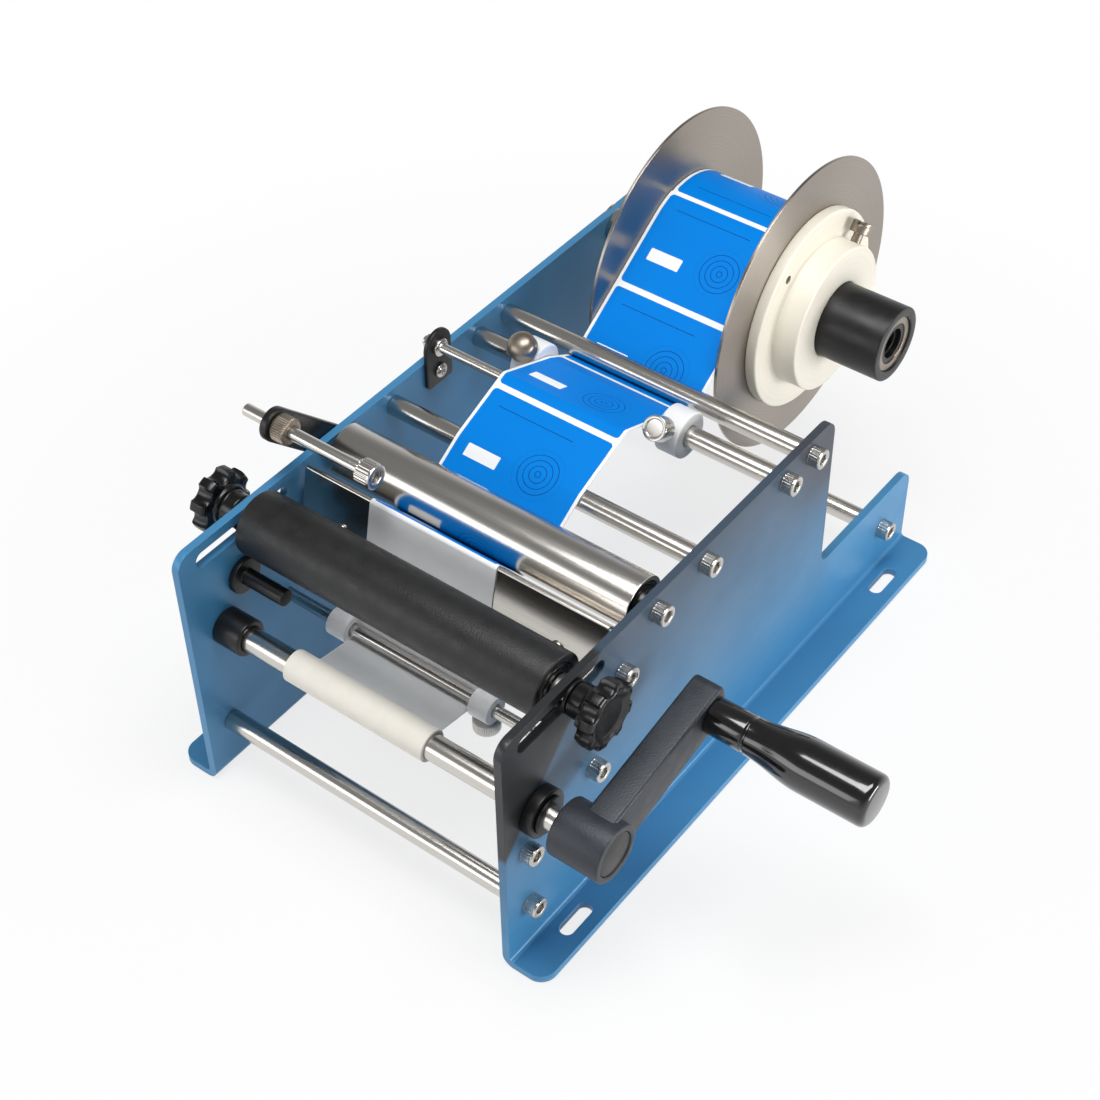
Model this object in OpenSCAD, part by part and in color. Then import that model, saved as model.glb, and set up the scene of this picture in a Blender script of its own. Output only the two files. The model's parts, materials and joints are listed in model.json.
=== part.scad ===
// Hand-cranked bench labeller for round bottles, with its roll of labels.
// +X runs from the front to the rear, +Y towards the left plate, +Z up.
// The origin is the centre of the four fixing slots, on the surface it stands on.

/* [Side plates] */
// Length of the right plate and of its foot
plate_len = 330; // [320:1:345]
// How much longer the left plate is, at its rear
left_extra = 15; // [8:1:30]
// Height of the plates
plate_h = 143; // [136:1:155]
// Thickness of the sheet
plate_t = 4; // [3:0.5:5]
// Clear width between the plates
inner_w = 170; // [166:1:190]
// Width of the foot flange, from the outer face
flange_w = 19; // [17:0.5:26]
// Inner radius of the bend between plate and foot
bend_r = 2; // [1:0.5:3]
// Radius of the plates' upper corners
corner_r = 8; // [4:1:12]
// Radius of the foot's outer corners
foot_r = 8; // [3:1:8]
// Edge of the right plate behind the upper tie rod, where it steps down
step_margin = 19; // [12:1:30]
// Height of the right plate behind the step
step_h = 50; // [44:1:56]
// Distance between the front and rear fixing slots
fix_spacing = 260; // [240:1:270]
// End-to-end length of a fixing slot
fix_len = 20; // [14:1:26]
// Width of a fixing slot
fix_w = 7; // [6:0.5:9]

/* [Cross rods] */
// Diameter of the cross rods
rod_d = 10; // [9:0.5:11]
// Depth of the row of axles below the plates' upper edge
row_drop = 9; // [8:0.5:12]
// Front tie rod, back from the front edge
front_rod_back = 15; // [12:1:20]
// Height of the front tie rod
front_rod_z = 30; // [20:1:40]
// Rear tie rod, forward from the right plate's rear edge
rear_rod_in = 25; // [15:1:35]
// Height of the rear tie rod
rear_rod_z = 28; // [20:1:34]
// Gap between the side discs and the upper tie rod's middle
upper_rod_clear = 15; // [8:0.5:20]
// Label guide rod, forward from the upper tie rod
guide_rod_in = 22; // [20:1:25]
// Web support rod, back from the front edge
support_rod_back = 141; // [137:1:146]

/* [Screws] */
// Thread diameter of the socket screws
screw_d = 6; // [5:0.5:6]
// Head diameter of the socket screws
head_d = 10; // [9:0.5:11]
// Head height of the socket screws
head_h = 6; // [4:0.5:7]
// Key size of the socket screws
key_w = 5; // [4:0.5:6]
// Depth that a screw reaches into a rod
screw_grip = 14; // [10:1:20]
// Bush clamp screw, back from the front edge
clamp_back = 14; // [12:1:18]
// Depth of the bush clamp screw below the drive shaft
clamp_drop = 21; // [19:1:26]
// Width across the flats of a plain nut
nut_w = 10; // [9:0.5:12]
// Thickness of a plain nut
nut_t = 5; // [4:0.5:6]

/* [Drive] */
// Drive shaft, back from the front edge
shaft_back = 21; // [19:1:23]
// Depth of the drive shaft below the row of axles
shaft_drop = 46; // [43:1:50]
// Diameter of the drive shaft
shaft_d = 12; // [10:0.5:13]
// Diameter of the rubber sleeve on the shaft
sleeve_d = 15.5; // [14.5:0.5:17]
// Length of the rubber sleeve
sleeve_len = 78; // [72:1:90]
// Middle of the rubber sleeve, towards the left plate
sleeve_y = 5; // [0:1:12]
// Diameter of the left bush
left_bush_d = 18; // [17:0.5:20]
// Length of the left bush inside the plate
left_bush_len = 15; // [10:1:20]
// Diameter of the right bush's flange
right_bush_d = 23; // [20:0.5:25]
// Thickness of the right bush's flange
right_bush_t = 6; // [4:0.5:8]

/* [Crank] */
// Crank radius, from the shaft to the grip
crank_r = 75; // [60:1:75]
// Angle of the crank arm at rest, above level
crank_angle = 12; // [0:1:30]
// Diameter of the crank hub
hub_d = 27; // [24:0.5:30]
// Length of the crank hub
hub_len = 25.5; // [24:0.5:30]
// Bare shaft between the right plate and the hub
hub_gap = 15; // [13:0.5:20]
// Thickness of the crank arm
arm_t = 14; // [10:0.5:15]
// Height of the arm at the hub
arm_h0 = 24; // [20:0.5:24]
// Height of the arm at its end
arm_h1 = 20; // [18:0.5:22]
// How far the arm runs past the grip
arm_end = 10; // [9:0.5:12]
// Length of the grip
grip_len = 79; // [70:1:90]
// Greatest diameter of the grip
grip_d = 24; // [22:0.5:25]
// Diameter of the grip's spindle
spindle_d = 8; // [6:0.5:9]

/* [Bottle roller] */
// Bottle roller axle at rest, back from the front edge
bottle_back = 46; // [40:1:48]
// Diameter over the rubber
bottle_d = 31; // [28:0.5:32]
// Diameter of the roller's core
core_d = 22; // [18:0.5:24]
// Diameter of the axle
axle_d = 8; // [7:0.5:9]
// Front end of the axle's travel, back from the front edge
travel_front = 14.5; // [13:0.5:20]
// Rear end of the axle's travel, back from the front edge
travel_rear = 59; // [50:0.5:59]
// Diameter of the star knobs
star_d = 32; // [28:1:36]
// Thickness of the star knobs
star_t = 12; // [9:0.5:13]
// Lobes round a star knob
star_lobes = 8; // [6:1:10]
// Length of a star knob's neck
star_neck = 6; // [4:0.5:7]

/* [Press roller and peel plate] */
// Press roller, back from the front edge
press_back = 105; // [103:1:108]
// Diameter of the press roller
press_d = 26; // [24:0.5:28]
// Wall of the press roller's tube
press_wall = 2; // [1.5:0.5:3]
// Thickness of the press roller's end caps
press_cap_t = 4; // [3:0.5:6]
// Nose of the peel plate, back from the front edge
nose_back = 80; // [79:0.5:82]
// Height of the nose above the row of axles
nose_rise = 6.5; // [4:0.5:8]
// Thickness of the peel plate
peel_t = 1.2; // [1:0.1:1.5]
// Length of the peel plate's front leg
peel_front = 48; // [38:1:50]
// Length of the peel plate's rear leg
peel_rear = 17; // [14:1:20]
// Peel rod, down the front leg from the nose
peel_rod_down = 22; // [20:1:30]
// Gap between the peel plate and each side plate
peel_side = 2; // [1:0.5:10]

/* [Liner guide] */
// Liner guide rod, back from the front edge
liner_back = 60.5; // [58:0.5:64]
// Depth of the liner guide rod below the row of axles
liner_drop = 58; // [54:1:64]
// Diameter of the liner guide rod
liner_d = 6; // [5:0.5:6.5]
// Diameter of the liner collars
liner_collar_d = 14; // [12:0.5:16]
// Length of a liner collar
liner_collar_len = 11; // [8:0.5:14]
// Diameter of the liner collar's thumbscrew
thumb_d = 13; // [10:0.5:15]

// Guide stud on the left plate, back from the front edge
stud_back = 35; // [33:1:37]
// Depth of the guide stud below the row of axles
stud_drop = 25; // [24:1:28]
// Diameter of the guide stud
stud_d = 8; // [6:0.5:10]
// Reach of the guide stud from the left plate
stud_len = 26.5; // [20:0.5:36]
// Diameter of the guide stud's flange
stud_flange_d = 18; // [14:0.5:18]
// Thickness of the guide stud's flange
stud_flange_t = 3; // [2:0.5:3]

/* [Bottle stop] */
// Length of the stop arm, between its holes
stop_len = 47; // [44:1:52]
// Angle of the stop arm at rest, above level
stop_angle = 45; // [40:1:60]
// Width of the stop arm
stop_w = 16; // [14:0.5:18]
// Thickness of the stop arm
stop_t = 4; // [3:0.5:5]
// Diameter of the stop rod
stop_rod_d = 6; // [5:0.5:7]
// Reach of the stop rod inside the left plate's outer face
stop_reach = 48; // [40:1:60]
// Length of the stop rod outside the left plate
stop_tail = 19; // [17:1:30]

/* [Tension finger] */
// Height of the finger above the row of axles
finger_rise = 15; // [13.5:0.5:17]
// Diameter of the finger
finger_d = 5; // [4:0.5:6]
// Width of the finger's bracket
bracket_w = 18; // [16:0.5:22]
// Thickness of the finger's bracket
bracket_t = 2; // [1.5:0.5:3]

/* [Web and roll] */
// Width of the labels' backing strip
web_w = 70; // [60:1:72]
// Middle of the strip, towards the left plate
web_y = 10; // [6:1:12]
// Thickness of the strip with its labels
web_t = 0.3; // [0.2:0.1:0.5]
// Gap between the strip and what it runs on
web_gap = 0.3; // [0.2:0.05:0.4]
// Roll, forward from the left plate's rear edge
roll_in = 29; // [20:1:34]
// Diameter of the label roll
roll_d = 87; // [70:1:100]
// Outer diameter of the roll's core
core_out = 46; // [44:0.5:50]
// Diameter of the side discs
disc_d = 150; // [130:1:158]
// Thickness of the side discs
disc_t = 1.5; // [1:0.5:2.5]
// Outer diameter of the mandrel tube
tube_d = 38; // [36:0.5:39]
// Length of the tube outside the right hub
tube_stick = 33; // [29:1:36]
// Diameter of the mandrel's bearings
bearing_d = 28; // [26:0.5:30]
// Width of a bearing
bearing_w = 7; // [6:0.5:9]
// Diameter of the fixed mandrel spindle
mandrel_d = 15; // [12:0.5:17]
// Diameter of the right hub's large step
hub_big_d = 102; // [94:1:110]
// Diameter of the right hub's small step
hub_small_d = 74; // [64:1:80]
// Thickness of the right hub's large step
hub_step = 6; // [5:0.5:8]
// Length of the right hub's small step
hub_small_len = 13; // [12:0.5:15]
// Diameter of the left hub
left_hub_d = 64; // [54:1:80]
// Length of the left hub
left_hub_len = 13; // [8:0.5:16]

/* [Label guides] */
// Diameter of the label guide collars
guide_d = 23; // [20:0.5:25]
// Length of a label guide collar
guide_len = 12; // [12:0.5:16]
// Diameter of the left guide's domed knob
dome_d = 14; // [12:0.5:16]
// Diameter of the right guide's flat knob
flat_d = 12; // [10:0.5:12]

/* [Hidden] */
$fn = 64;

// Overshoot of a cut past the face that it opens
over = 1;
// Radial play of a running fit
play = 0.05;
// Play of a sliding fit in a slot, on each side
slide_play = 0.1;
// Gap between flat faces of pieces that move on each other
air = 0.3;
// Play of a screw in its clearance hole, on the diameter
hole_play = 0.2;
// Play of a screw in its tapped hole, on the diameter
tap_play = 0.1;
// Bare end left in a tapped hole behind its screw
tap_spare = 2;
// Chamfer on screw heads and knobs
edge = 0.6;
// Depth of a key socket
key_deep = head_h / 2;
// Sheet left under a countersunk head
sunk_left = 1;
// Depth of a countersunk head
sunk_deep = plate_t - sunk_left;
// Key size and depth of a countersunk head
sunk_key_w = 4;
sunk_key_deep = 1.8;
// Metal left between the liner guide rod's cap and its key socket
cap_web = 0.5;
// How far the liner guide rod goes into its cap
liner_in = head_h - key_deep - cap_web;
// Length of the axle's slots behind its travel
slot_spare = 5;

blue = [0.18, 0.38, 0.62];
steel = [0.78, 0.79, 0.81];
dark = [0.12, 0.12, 0.13];
cream = [0.89, 0.86, 0.79];
iron = [0.25, 0.25, 0.27];

front_x = -plate_len / 2;
inner_y = inner_w / 2;
outer_y = inner_y + plate_t;
row_z = plate_h - row_drop;
fix_y = outer_y + flange_w / 2;

function from_front(d) = front_x + d;

// Places of the axes, as [x, z]
front_rod_at = [from_front(front_rod_back), front_rod_z];
rear_rod_at = [-front_x - rear_rod_in, rear_rod_z];
roll_at = [from_front(plate_len + left_extra - roll_in), row_z];
upper_rod_at = [roll_at[0] - disc_d / 2 - upper_rod_clear, row_z];
guide_rod_at = [upper_rod_at[0] - guide_rod_in, row_z];
support_rod_at = [from_front(support_rod_back), row_z];
press_at = [from_front(press_back), row_z];
bottle_at = [from_front(bottle_back), row_z];
shaft_at = [from_front(shaft_back), row_z - shaft_drop];
clamp_at = [from_front(clamp_back), shaft_at[1] - clamp_drop];
liner_at = [from_front(liner_back), row_z - liner_drop];
stud_at = [from_front(stud_back), row_z - stud_drop];
finger_screw_rise = 1;
finger_at = [(guide_rod_at[0] + support_rod_at[0]) / 2, row_z + finger_rise];
finger_screw_at = [finger_at[0], row_z + finger_screw_rise];
nose_at = [from_front(nose_back), row_z + nose_rise];
stop_at = press_at + stop_len * [-cos(stop_angle), sin(stop_angle)];

// Faces of the strip and of the roll unit, along Y
side_gap = 0.3;
web_left = web_y + web_w / 2;
web_right = web_y - web_w / 2;
left_disc_y = web_left + side_gap;
left_hub_y = left_disc_y + disc_t;
tube_left = left_hub_y + left_hub_len;
right_disc_y = web_right - side_gap - disc_t;
hub_step_y = right_disc_y - hub_step;
right_hub_y = hub_step_y - hub_small_len;
tube_right = right_hub_y - tube_stick;

// Faces of the crank, as distances to the right of the middle
hub_in = outer_y + hub_gap;
hub_out = hub_in + hub_len;
arm_set = 8;
arm_in = hub_in + arm_set;
arm_out = arm_in + arm_t;
cap_wall = 3;
cap_d = hub_d - 2 * cap_wall;
cap_t = 2;
cap_deep = 2.5;

// Faces of the bottle roller's fittings, as distances from the middle
washer_t = 1.5;
spacer_t = 3;
washer_in = outer_y + air;
star_in = washer_in + washer_t + air;
star_out = star_in + star_neck + star_t;
spacer_out = inner_y - air;
bottle_half = spacer_out - spacer_t - air;
press_half = inner_y - spacer_t;

// Spigots and clips of the drive shaft
spigot_wall = 2;
spigot_d = shaft_d + 2 * spigot_wall;
clip_t = 1.2;
clip_deep = 0.6;
clip_rim = 3;

// Path of the strip, in a plane with u forwards and z up
run_over = -1;
run_under = 1;
start_lap = 20;
end_lap = 15;
arc_step = 6;
lift = web_gap + web_t / 2;
path = [
    [-roll_at[0], roll_at[1], roll_d / 2 + lift, run_over],
    [-upper_rod_at[0], upper_rod_at[1], rod_d / 2 + lift, run_under],
    [-guide_rod_at[0], guide_rod_at[1], rod_d / 2 + lift, run_over],
    [-finger_at[0], finger_at[1], finger_d / 2 + lift, run_over],
    [-support_rod_at[0], support_rod_at[1], rod_d / 2 + lift, run_over],
    [-press_at[0], press_at[1], press_d / 2 + lift, run_under],
    [-nose_at[0], nose_at[1], peel_t + lift, run_over],
    [-liner_at[0], liner_at[1], liner_d / 2 + lift, run_under],
    [-shaft_at[0], shaft_at[1], sleeve_d / 2 + lift, run_under]];
last = len(path) - 1;

function gap_of(a, b) = norm([b[0] - a[0], b[1] - a[1]]);
function lean_of(a, b) = asin((b[3] * b[2] - a[3] * a[2]) / gap_of(a, b));
function heading(i) = atan2(path[i + 1][1] - path[i][1], path[i + 1][0] - path[i][0])
    - lean_of(path[i], path[i + 1]);
function heading_in(i) = i == 0 ? heading(0) + start_lap : heading(i - 1);
function heading_out(i) = i == last ? heading(last - 1) + end_lap : heading(i);
function left_of(a) = [-sin(a), cos(a)];
function steps_of(i) = max(1, ceil(abs(heading_out(i) - heading_in(i)) / arc_step));
function angle_at(i, k) = heading_in(i) + (heading_out(i) - heading_in(i)) * k / steps_of(i);
function web_point(c, a, off) = [c[0], c[1]] + (off - c[3] * c[2]) * left_of(a);
function web_side(off) = [for (i = [0:last]) for (k = [0:steps_of(i)])
    web_point(path[i], angle_at(i, k), off)];
function backwards(list) = [for (i = [len(list) - 1:-1:0]) list[i]];

// Headings of the two legs of the peel plate, and the rod behind its front leg
front_turn = heading(6);
rear_turn = heading(5);
peel_rod_uz = [-nose_at[0], nose_at[1]] + peel_rod_down * [cos(front_turn), sin(front_turn)]
    - (rod_d / 2 + play) * left_of(front_turn);
peel_rod_at = [-peel_rod_uz[0], peel_rod_uz[1]];
rod_places = [front_rod_at, rear_rod_at, upper_rod_at, guide_rod_at, support_rod_at, peel_rod_at];
peel_w = inner_w - 2 * peel_side;
peel_screw_d = 4;
peel_head_d = 7;
peel_head_h = 1;
peel_screw_in = 23;
peel_screw_len = 6;

// Close fit of pieces that are joined, on the radius
fit = 0.02;
// Gap between the strip's edges and its guides
collar_gap = 0.5;
// Middles of the label guide collars, along Y
left_guide_y = web_left + collar_gap + guide_len / 2;
right_guide_y = web_right - collar_gap - guide_len / 2;
// Left end of the shaft past its clip
shaft_tail = 4;
// Share of the shaft's diameter that a clip leaves open
clip_mouth = 0.6;
// Inner corner under the right plate's step
step_r = 6;
// Corners at the end of the crank arm
arm_end_r = 4;

// Profile of the grip
grip_wall = 8;
grip_collar_d = 17;
grip_waist_d = 17.5;
grip_groove_d = 15.5;
grip_collar_len = 17.5;
grip_groove_len = 2;
grip_flare_len = 26;
grip_end_r = 3;

// Sizes of the small fittings
washer_rim = 4;
washer_d = axle_d + 2 * washer_rim;
spacer_rim = 3;
spacer_d = axle_d + 2 * spacer_rim;
press_rim = 2.5;
press_boss_d = rod_d + 2 * press_rim;
star_neck_d = 16;
star_notch_r = 4;
star_notch_out = 1;
thumb_shank_d = 4;
thumb_t = 6;
thumb_neck = 1;
stop_hub_rim = 3.5;
stop_hub_d = stop_rod_d + 2 * stop_hub_rim;
stop_hub_t = 8;
stop_head_rim = 3;
stop_head_d = stop_rod_d + 2 * stop_head_rim;
stop_head_h = 8;
finger_screw_d = 4;
finger_head_d = 7.5;
finger_head_h = 2.2;
finger_nut_rim = 1.5;
finger_nut_w = finger_d + 2 * finger_nut_rim;
finger_nut_t = 4;
finger_rim = 2;
finger_rim_t = 2;
finger_past = 5;
knob_shank_d = 5;
dome_neck = 3;
dome_h = 9;
dome_skirt = 4;
dome_angle = 120;
flat_neck = 5;
flat_neck_d = 7.2;
flat_h = 9;
flat_angle = 142;
stub_d = 10;
stub_nut_rim = 2;
mandrel_step_rim = 2;
mandrel_step_d = mandrel_d + 2 * mandrel_step_rim;
mandrel_wall = 2;
mandrel_bore_deep = 30;
bearing_sunk = 1;
spindle_sunk = 4;
core_play = 0.2;
lock_angle = 51;
lock_y = right_hub_y + hub_small_len / 2;
lock_neck = 4.5;
lock_d = 5;
lock_head_d = 10;
lock_head_h = 6;
lock_slot_w = 1.4;
lock_slot_deep = 2;
pin_hole_d = 3;
pin_hole_out = 5.5;
pin_hole_r = hub_small_d / 2 + pin_hole_out;
pin_hole_deep = 4;
pin_hole_angle = 128;

// Puts children on an axis across the machine
module on_axis(place) {
    translate([place[0], 0, place[1]])
        children();
}

// Local +Z turned to the left, starting at y
module facing_left(y) {
    translate([0, y, 0])
        rotate([-90, 0, 0])
            children();
}

// Local +Z turned to the right, starting at y to the right of the middle
module facing_right(y) {
    translate([0, -y, 0])
        rotate([90, 0, 0])
            children();
}

// Local +Z turned up from the rear by an angle, in the plane of the plates
module pointing(angle, y) {
    translate([0, y, 0])
        rotate([0, 90 - angle, 0])
            children();
}

// Round bar along Y
module bar(d, y0, y1) {
    facing_left(y0)
        cylinder(d = d, h = y1 - y0);
}

// Ring along Y
module ring(d_out, d_in, y0, y1) {
    difference() {
        bar(d_out, y0, y1);
        bar(d_in, y0 - over, y1 + over);
    }
}

// Plate lying in the plane of the side plates, from a profile in x and z
module upright(y, t) {
    translate([0, y + t, 0])
        rotate([90, 0, 0])
            linear_extrude(t)
                children();
}

// Cylinder head with a chamfered rim
module head(d, h) {
    rotate_extrude()
        polygon([[0, 0], [d / 2, 0], [d / 2, h - edge], [d / 2 - edge, h], [0, h]]);
}

// Key socket in the end face of a head
module key_socket(w, h, deep) {
    translate([0, 0, h - deep])
        cylinder(d = w / cos(30), h = deep + over, $fn = 6);
}

// Socket screw with its seat at z = 0
module socket_screw(shank) {
    difference() {
        union() {
            head(head_d, head_h);
            translate([0, 0, -shank])
                cylinder(d = screw_d, h = shank + over);
        }
        key_socket(key_w, head_h, key_deep);
    }
}

// Cone of a countersunk head round a thread, flush at z = 0 and drawn on by past
module sunk_cone(thread, past) {
    translate([0, 0, -sunk_deep])
        cylinder(d1 = thread, d2 = thread + 2 * (sunk_deep + past), h = sunk_deep + past);
}

// Countersunk screw, flush at z = 0
module sunk_screw(shank) {
    difference() {
        union() {
            sunk_cone(screw_d, 0);
            translate([0, 0, -shank])
                cylinder(d = screw_d, h = shank - sunk_deep / 2);
        }
        key_socket(sunk_key_w, 0, sunk_key_deep);
    }
}

// Plain nut on a thread
module nut(w, t, thread) {
    difference() {
        cylinder(d = w / cos(30), h = t, $fn = 6);
        translate([0, 0, -over])
            cylinder(d = thread + tap_play, h = t + 2 * over);
    }
}

// Cross rod between the plates, tapped at both ends
module cross_rod(place) {
    on_axis(place)
        difference() {
            bar(rod_d, -inner_y, inner_y);
            bar(screw_d + tap_play, -inner_y - over, -inner_y + screw_grip + tap_spare);
            bar(screw_d + tap_play, inner_y - screw_grip - tap_spare, inner_y + over);
        }
}

// Slot with round ends between two places on a line along x
module slot(x0, x1, z, w) {
    translate([x0, z - w / 2])
        square([x1 - x0, w]);
    for (x = [x0, x1])
        translate([x, z])
            circle(d = w);
}

// Upright outline with round upper corners
module round_top(x0, x1, h, r) {
    translate([x0, 0])
        square([x1 - x0, h - r]);
    translate([x0 + r, 0])
        square([x1 - x0 - 2 * r, h]);
    for (x = [x0 + r, x1 - r])
        translate([x, h - r])
            circle(r = r);
}

module hole_at(place, d) {
    translate(place)
        circle(d = d);
}

// Holes that both side plates have
module shared_holes() {
    for (place = concat(rod_places, [press_at]))
        hole_at(place, screw_d + hole_play);
    hole_at(liner_at, liner_d + hole_play);
    hole_at(shaft_at, spigot_d + hole_play);
    slot(from_front(travel_front), from_front(travel_rear + slot_spare), row_z, axle_d + 2 * slide_play);
}

// Foot of the left plate, with its bend and its fixing slots
module foot(len) {
    bend_y = outer_y + bend_r;
    bend_out = bend_r + plate_t;
    intersection() {
        translate([front_x, bend_y, bend_out])
            rotate([0, 90, 0])
                difference() {
                    cylinder(r = bend_out, h = len);
                    translate([0, 0, -over])
                        cylinder(r = bend_r, h = len + 2 * over);
                }
        translate([front_x, inner_y, 0])
            cube([len, bend_out, bend_out]);
    }
    linear_extrude(plate_t)
        difference() {
            union() {
                translate([front_x, bend_y])
                    square([len, flange_w - bend_r - foot_r]);
                translate([front_x + foot_r, bend_y])
                    square([len - 2 * foot_r, flange_w - bend_r]);
                for (x = [front_x + foot_r, front_x + len - foot_r])
                    translate([x, outer_y + flange_w - foot_r])
                        circle(r = foot_r);
            }
            for (x = [-fix_spacing / 2, fix_spacing / 2])
                slot(x - (fix_len - fix_w) / 2, x + (fix_len - fix_w) / 2, fix_y, fix_w);
        }
}

module left_side_plate() {
    color(blue) {
        difference() {
            upright(inner_y, plate_t)
                difference() {
                    intersection() {
                        round_top(front_x, from_front(plate_len + left_extra), plate_h, corner_r);
                        translate([front_x, plate_t + bend_r])
                            square([plate_len + left_extra, plate_h]);
                    }
                    shared_holes();
                    hole_at(stud_at, screw_d + hole_play);
                    hole_at(finger_screw_at, finger_screw_d + tap_play);
                    hole_at(roll_at, stub_d + hole_play);
                }
            at_left_screws()
                sunk_cone(screw_d + hole_play, over);
            on_axis(roll_at)
                facing_left(outer_y)
                    sunk_cone(stub_d + 2 * stub_nut_rim + hole_play, over);
        }
        foot(plate_len + left_extra);
    }
}

module right_side_plate() {
    step_x = upper_rod_at[0] + step_margin;
    color(blue) {
        upright(-outer_y, plate_t)
            difference() {
                intersection() {
                    union() {
                        round_top(front_x, step_x, plate_h, corner_r);
                        round_top(front_x, from_front(plate_len), step_h, corner_r);
                        difference() {
                            translate([step_x, step_h])
                                square(step_r);
                            translate([step_x + step_r, step_h + step_r])
                                circle(r = step_r);
                        }
                    }
                    translate([front_x, plate_t + bend_r])
                        square([plate_len, plate_h]);
                }
                shared_holes();
                hole_at(clamp_at, screw_d + hole_play);
            }
        mirror([0, 1, 0])
            foot(plate_len);
    }
}

module front_tie_rod() {
    color(steel)
        cross_rod(front_rod_at);
}

module rear_tie_rod() {
    color(steel)
        cross_rod(rear_rod_at);
}

module upper_tie_rod() {
    color(steel)
        cross_rod(upper_rod_at);
}

module label_guide_rod() {
    color(steel)
        cross_rod(guide_rod_at);
}

module web_support_rod() {
    color(steel)
        cross_rod(support_rod_at);
}

// The two screws of the peel plate, from its inner face outwards
module at_peel_screws() {
    for (side = [-1, 1])
        on_axis(nose_at + peel_rod_down * [-cos(front_turn), sin(front_turn)])
            pointing(90 - front_turn, side * (peel_w / 2 - peel_screw_in))
                children();
}

module peel_rod() {
    color(steel)
        difference() {
            cross_rod(peel_rod_at);
            at_peel_screws()
                translate([0, 0, -peel_screw_len - tap_spare])
                    cylinder(d = peel_screw_d + tap_play, h = peel_screw_len + tap_spare + over);
        }
}

// Profile with u forwards, drawn out across the machine
module across(y0, y1) {
    translate([0, y1, 0])
        rotate([90, 0, 0])
            linear_extrude(y1 - y0)
                mirror([1, 0])
                    children();
}

module peel_plate() {
    color(steel)
        difference() {
            across(-peel_w / 2, peel_w / 2)
                translate([-nose_at[0], nose_at[1]]) {
                    circle(r = peel_t);
                    rotate(front_turn)
                        square([peel_front, peel_t]);
                    rotate(rear_turn)
                        translate([-peel_rear, 0])
                            square([peel_rear, peel_t]);
                }
            at_peel_screws()
                translate([0, 0, -over])
                    cylinder(d = peel_screw_d + hole_play, h = peel_t + 2 * over);
        }
}

module peel_screws() {
    color(steel)
        at_peel_screws()
            translate([0, 0, peel_t]) {
                head(peel_head_d, peel_head_h);
                translate([0, 0, -peel_t - peel_screw_len])
                    cylinder(d = peel_screw_d, h = peel_t + peel_screw_len + peel_head_h / 2);
            }
}

// The countersunk screws of the left plate, from its outer face
module at_left_screws() {
    for (place = rod_places)
        on_axis(place)
            facing_left(outer_y)
                children();
}

module right_plate_screws() {
    color(steel) {
        for (place = concat(rod_places, [press_at]))
            on_axis(place)
                facing_right(outer_y)
                    socket_screw(plate_t + screw_grip);
        on_axis(clamp_at)
            facing_right(outer_y)
                socket_screw(plate_t + nut_t + tap_spare);
        on_axis(liner_at)
            facing_right(outer_y)
                difference() {
                    head(head_d, head_h);
                    key_socket(key_w, head_h, key_deep);
                    translate([0, 0, -over])
                        cylinder(d = liner_d + tap_play, h = liner_in + over);
                }
    }
}

module left_plate_screws() {
    color(steel)
        at_left_screws()
            sunk_screw(plate_t + screw_grip);
}

module plain_nuts() {
    color(steel) {
        on_axis(liner_at)
            facing_left(outer_y)
                nut(nut_w, nut_t, liner_d);
        on_axis(stud_at)
            facing_left(outer_y)
                nut(nut_w, nut_t, screw_d);
        on_axis(clamp_at)
            facing_left(-inner_y)
                nut(nut_w, nut_t, screw_d);
    }
}

module shaft_bush_left() {
    color(dark)
        on_axis(shaft_at)
            difference() {
                union() {
                    bar(left_bush_d, inner_y - left_bush_len, inner_y);
                    bar(spigot_d, inner_y - over, outer_y);
                }
                bar(shaft_d + 2 * play, inner_y - left_bush_len - over, outer_y + over);
            }
}

module shaft_bush_right() {
    color(dark)
        on_axis(shaft_at)
            difference() {
                union() {
                    bar(right_bush_d, -outer_y - right_bush_t, -outer_y);
                    bar(spigot_d, -outer_y - over, -inner_y);
                }
                bar(shaft_d + 2 * play, -outer_y - right_bush_t - over, -inner_y + over);
            }
}

// Grooves of the shaft for its clips, or the clips themselves, by their rings
module at_clips() {
    for (y = [outer_y + air, -outer_y - right_bush_t - air - clip_t])
        on_axis(shaft_at)
            translate([0, y, 0])
                children();
}

module drive_shaft() {
    color(steel)
        difference() {
            on_axis(shaft_at)
                bar(shaft_d, -hub_out + cap_deep, outer_y + air + clip_t + shaft_tail);
            at_clips()
                ring(shaft_d + over, shaft_d - 2 * clip_deep, 0, clip_t);
        }
}

module shaft_clips() {
    mouth = shaft_d * clip_mouth;
    color(dark)
        at_clips()
            difference() {
                ring(shaft_d + 2 * clip_rim, shaft_d - 2 * clip_deep, 0, clip_t);
                translate([-mouth / 2, -over, -shaft_d])
                    cube([mouth, clip_t + 2 * over, shaft_d]);
            }
}

module drive_sleeve() {
    color(cream)
        on_axis(shaft_at)
            ring(sleeve_d, shaft_d + 2 * fit, sleeve_y - sleeve_len / 2, sleeve_y + sleeve_len / 2);
}

// Turns children with the crank, from level to its rest
module on_crank() {
    on_axis(shaft_at)
        rotate([0, -crank_angle, 0])
            children();
}

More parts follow.
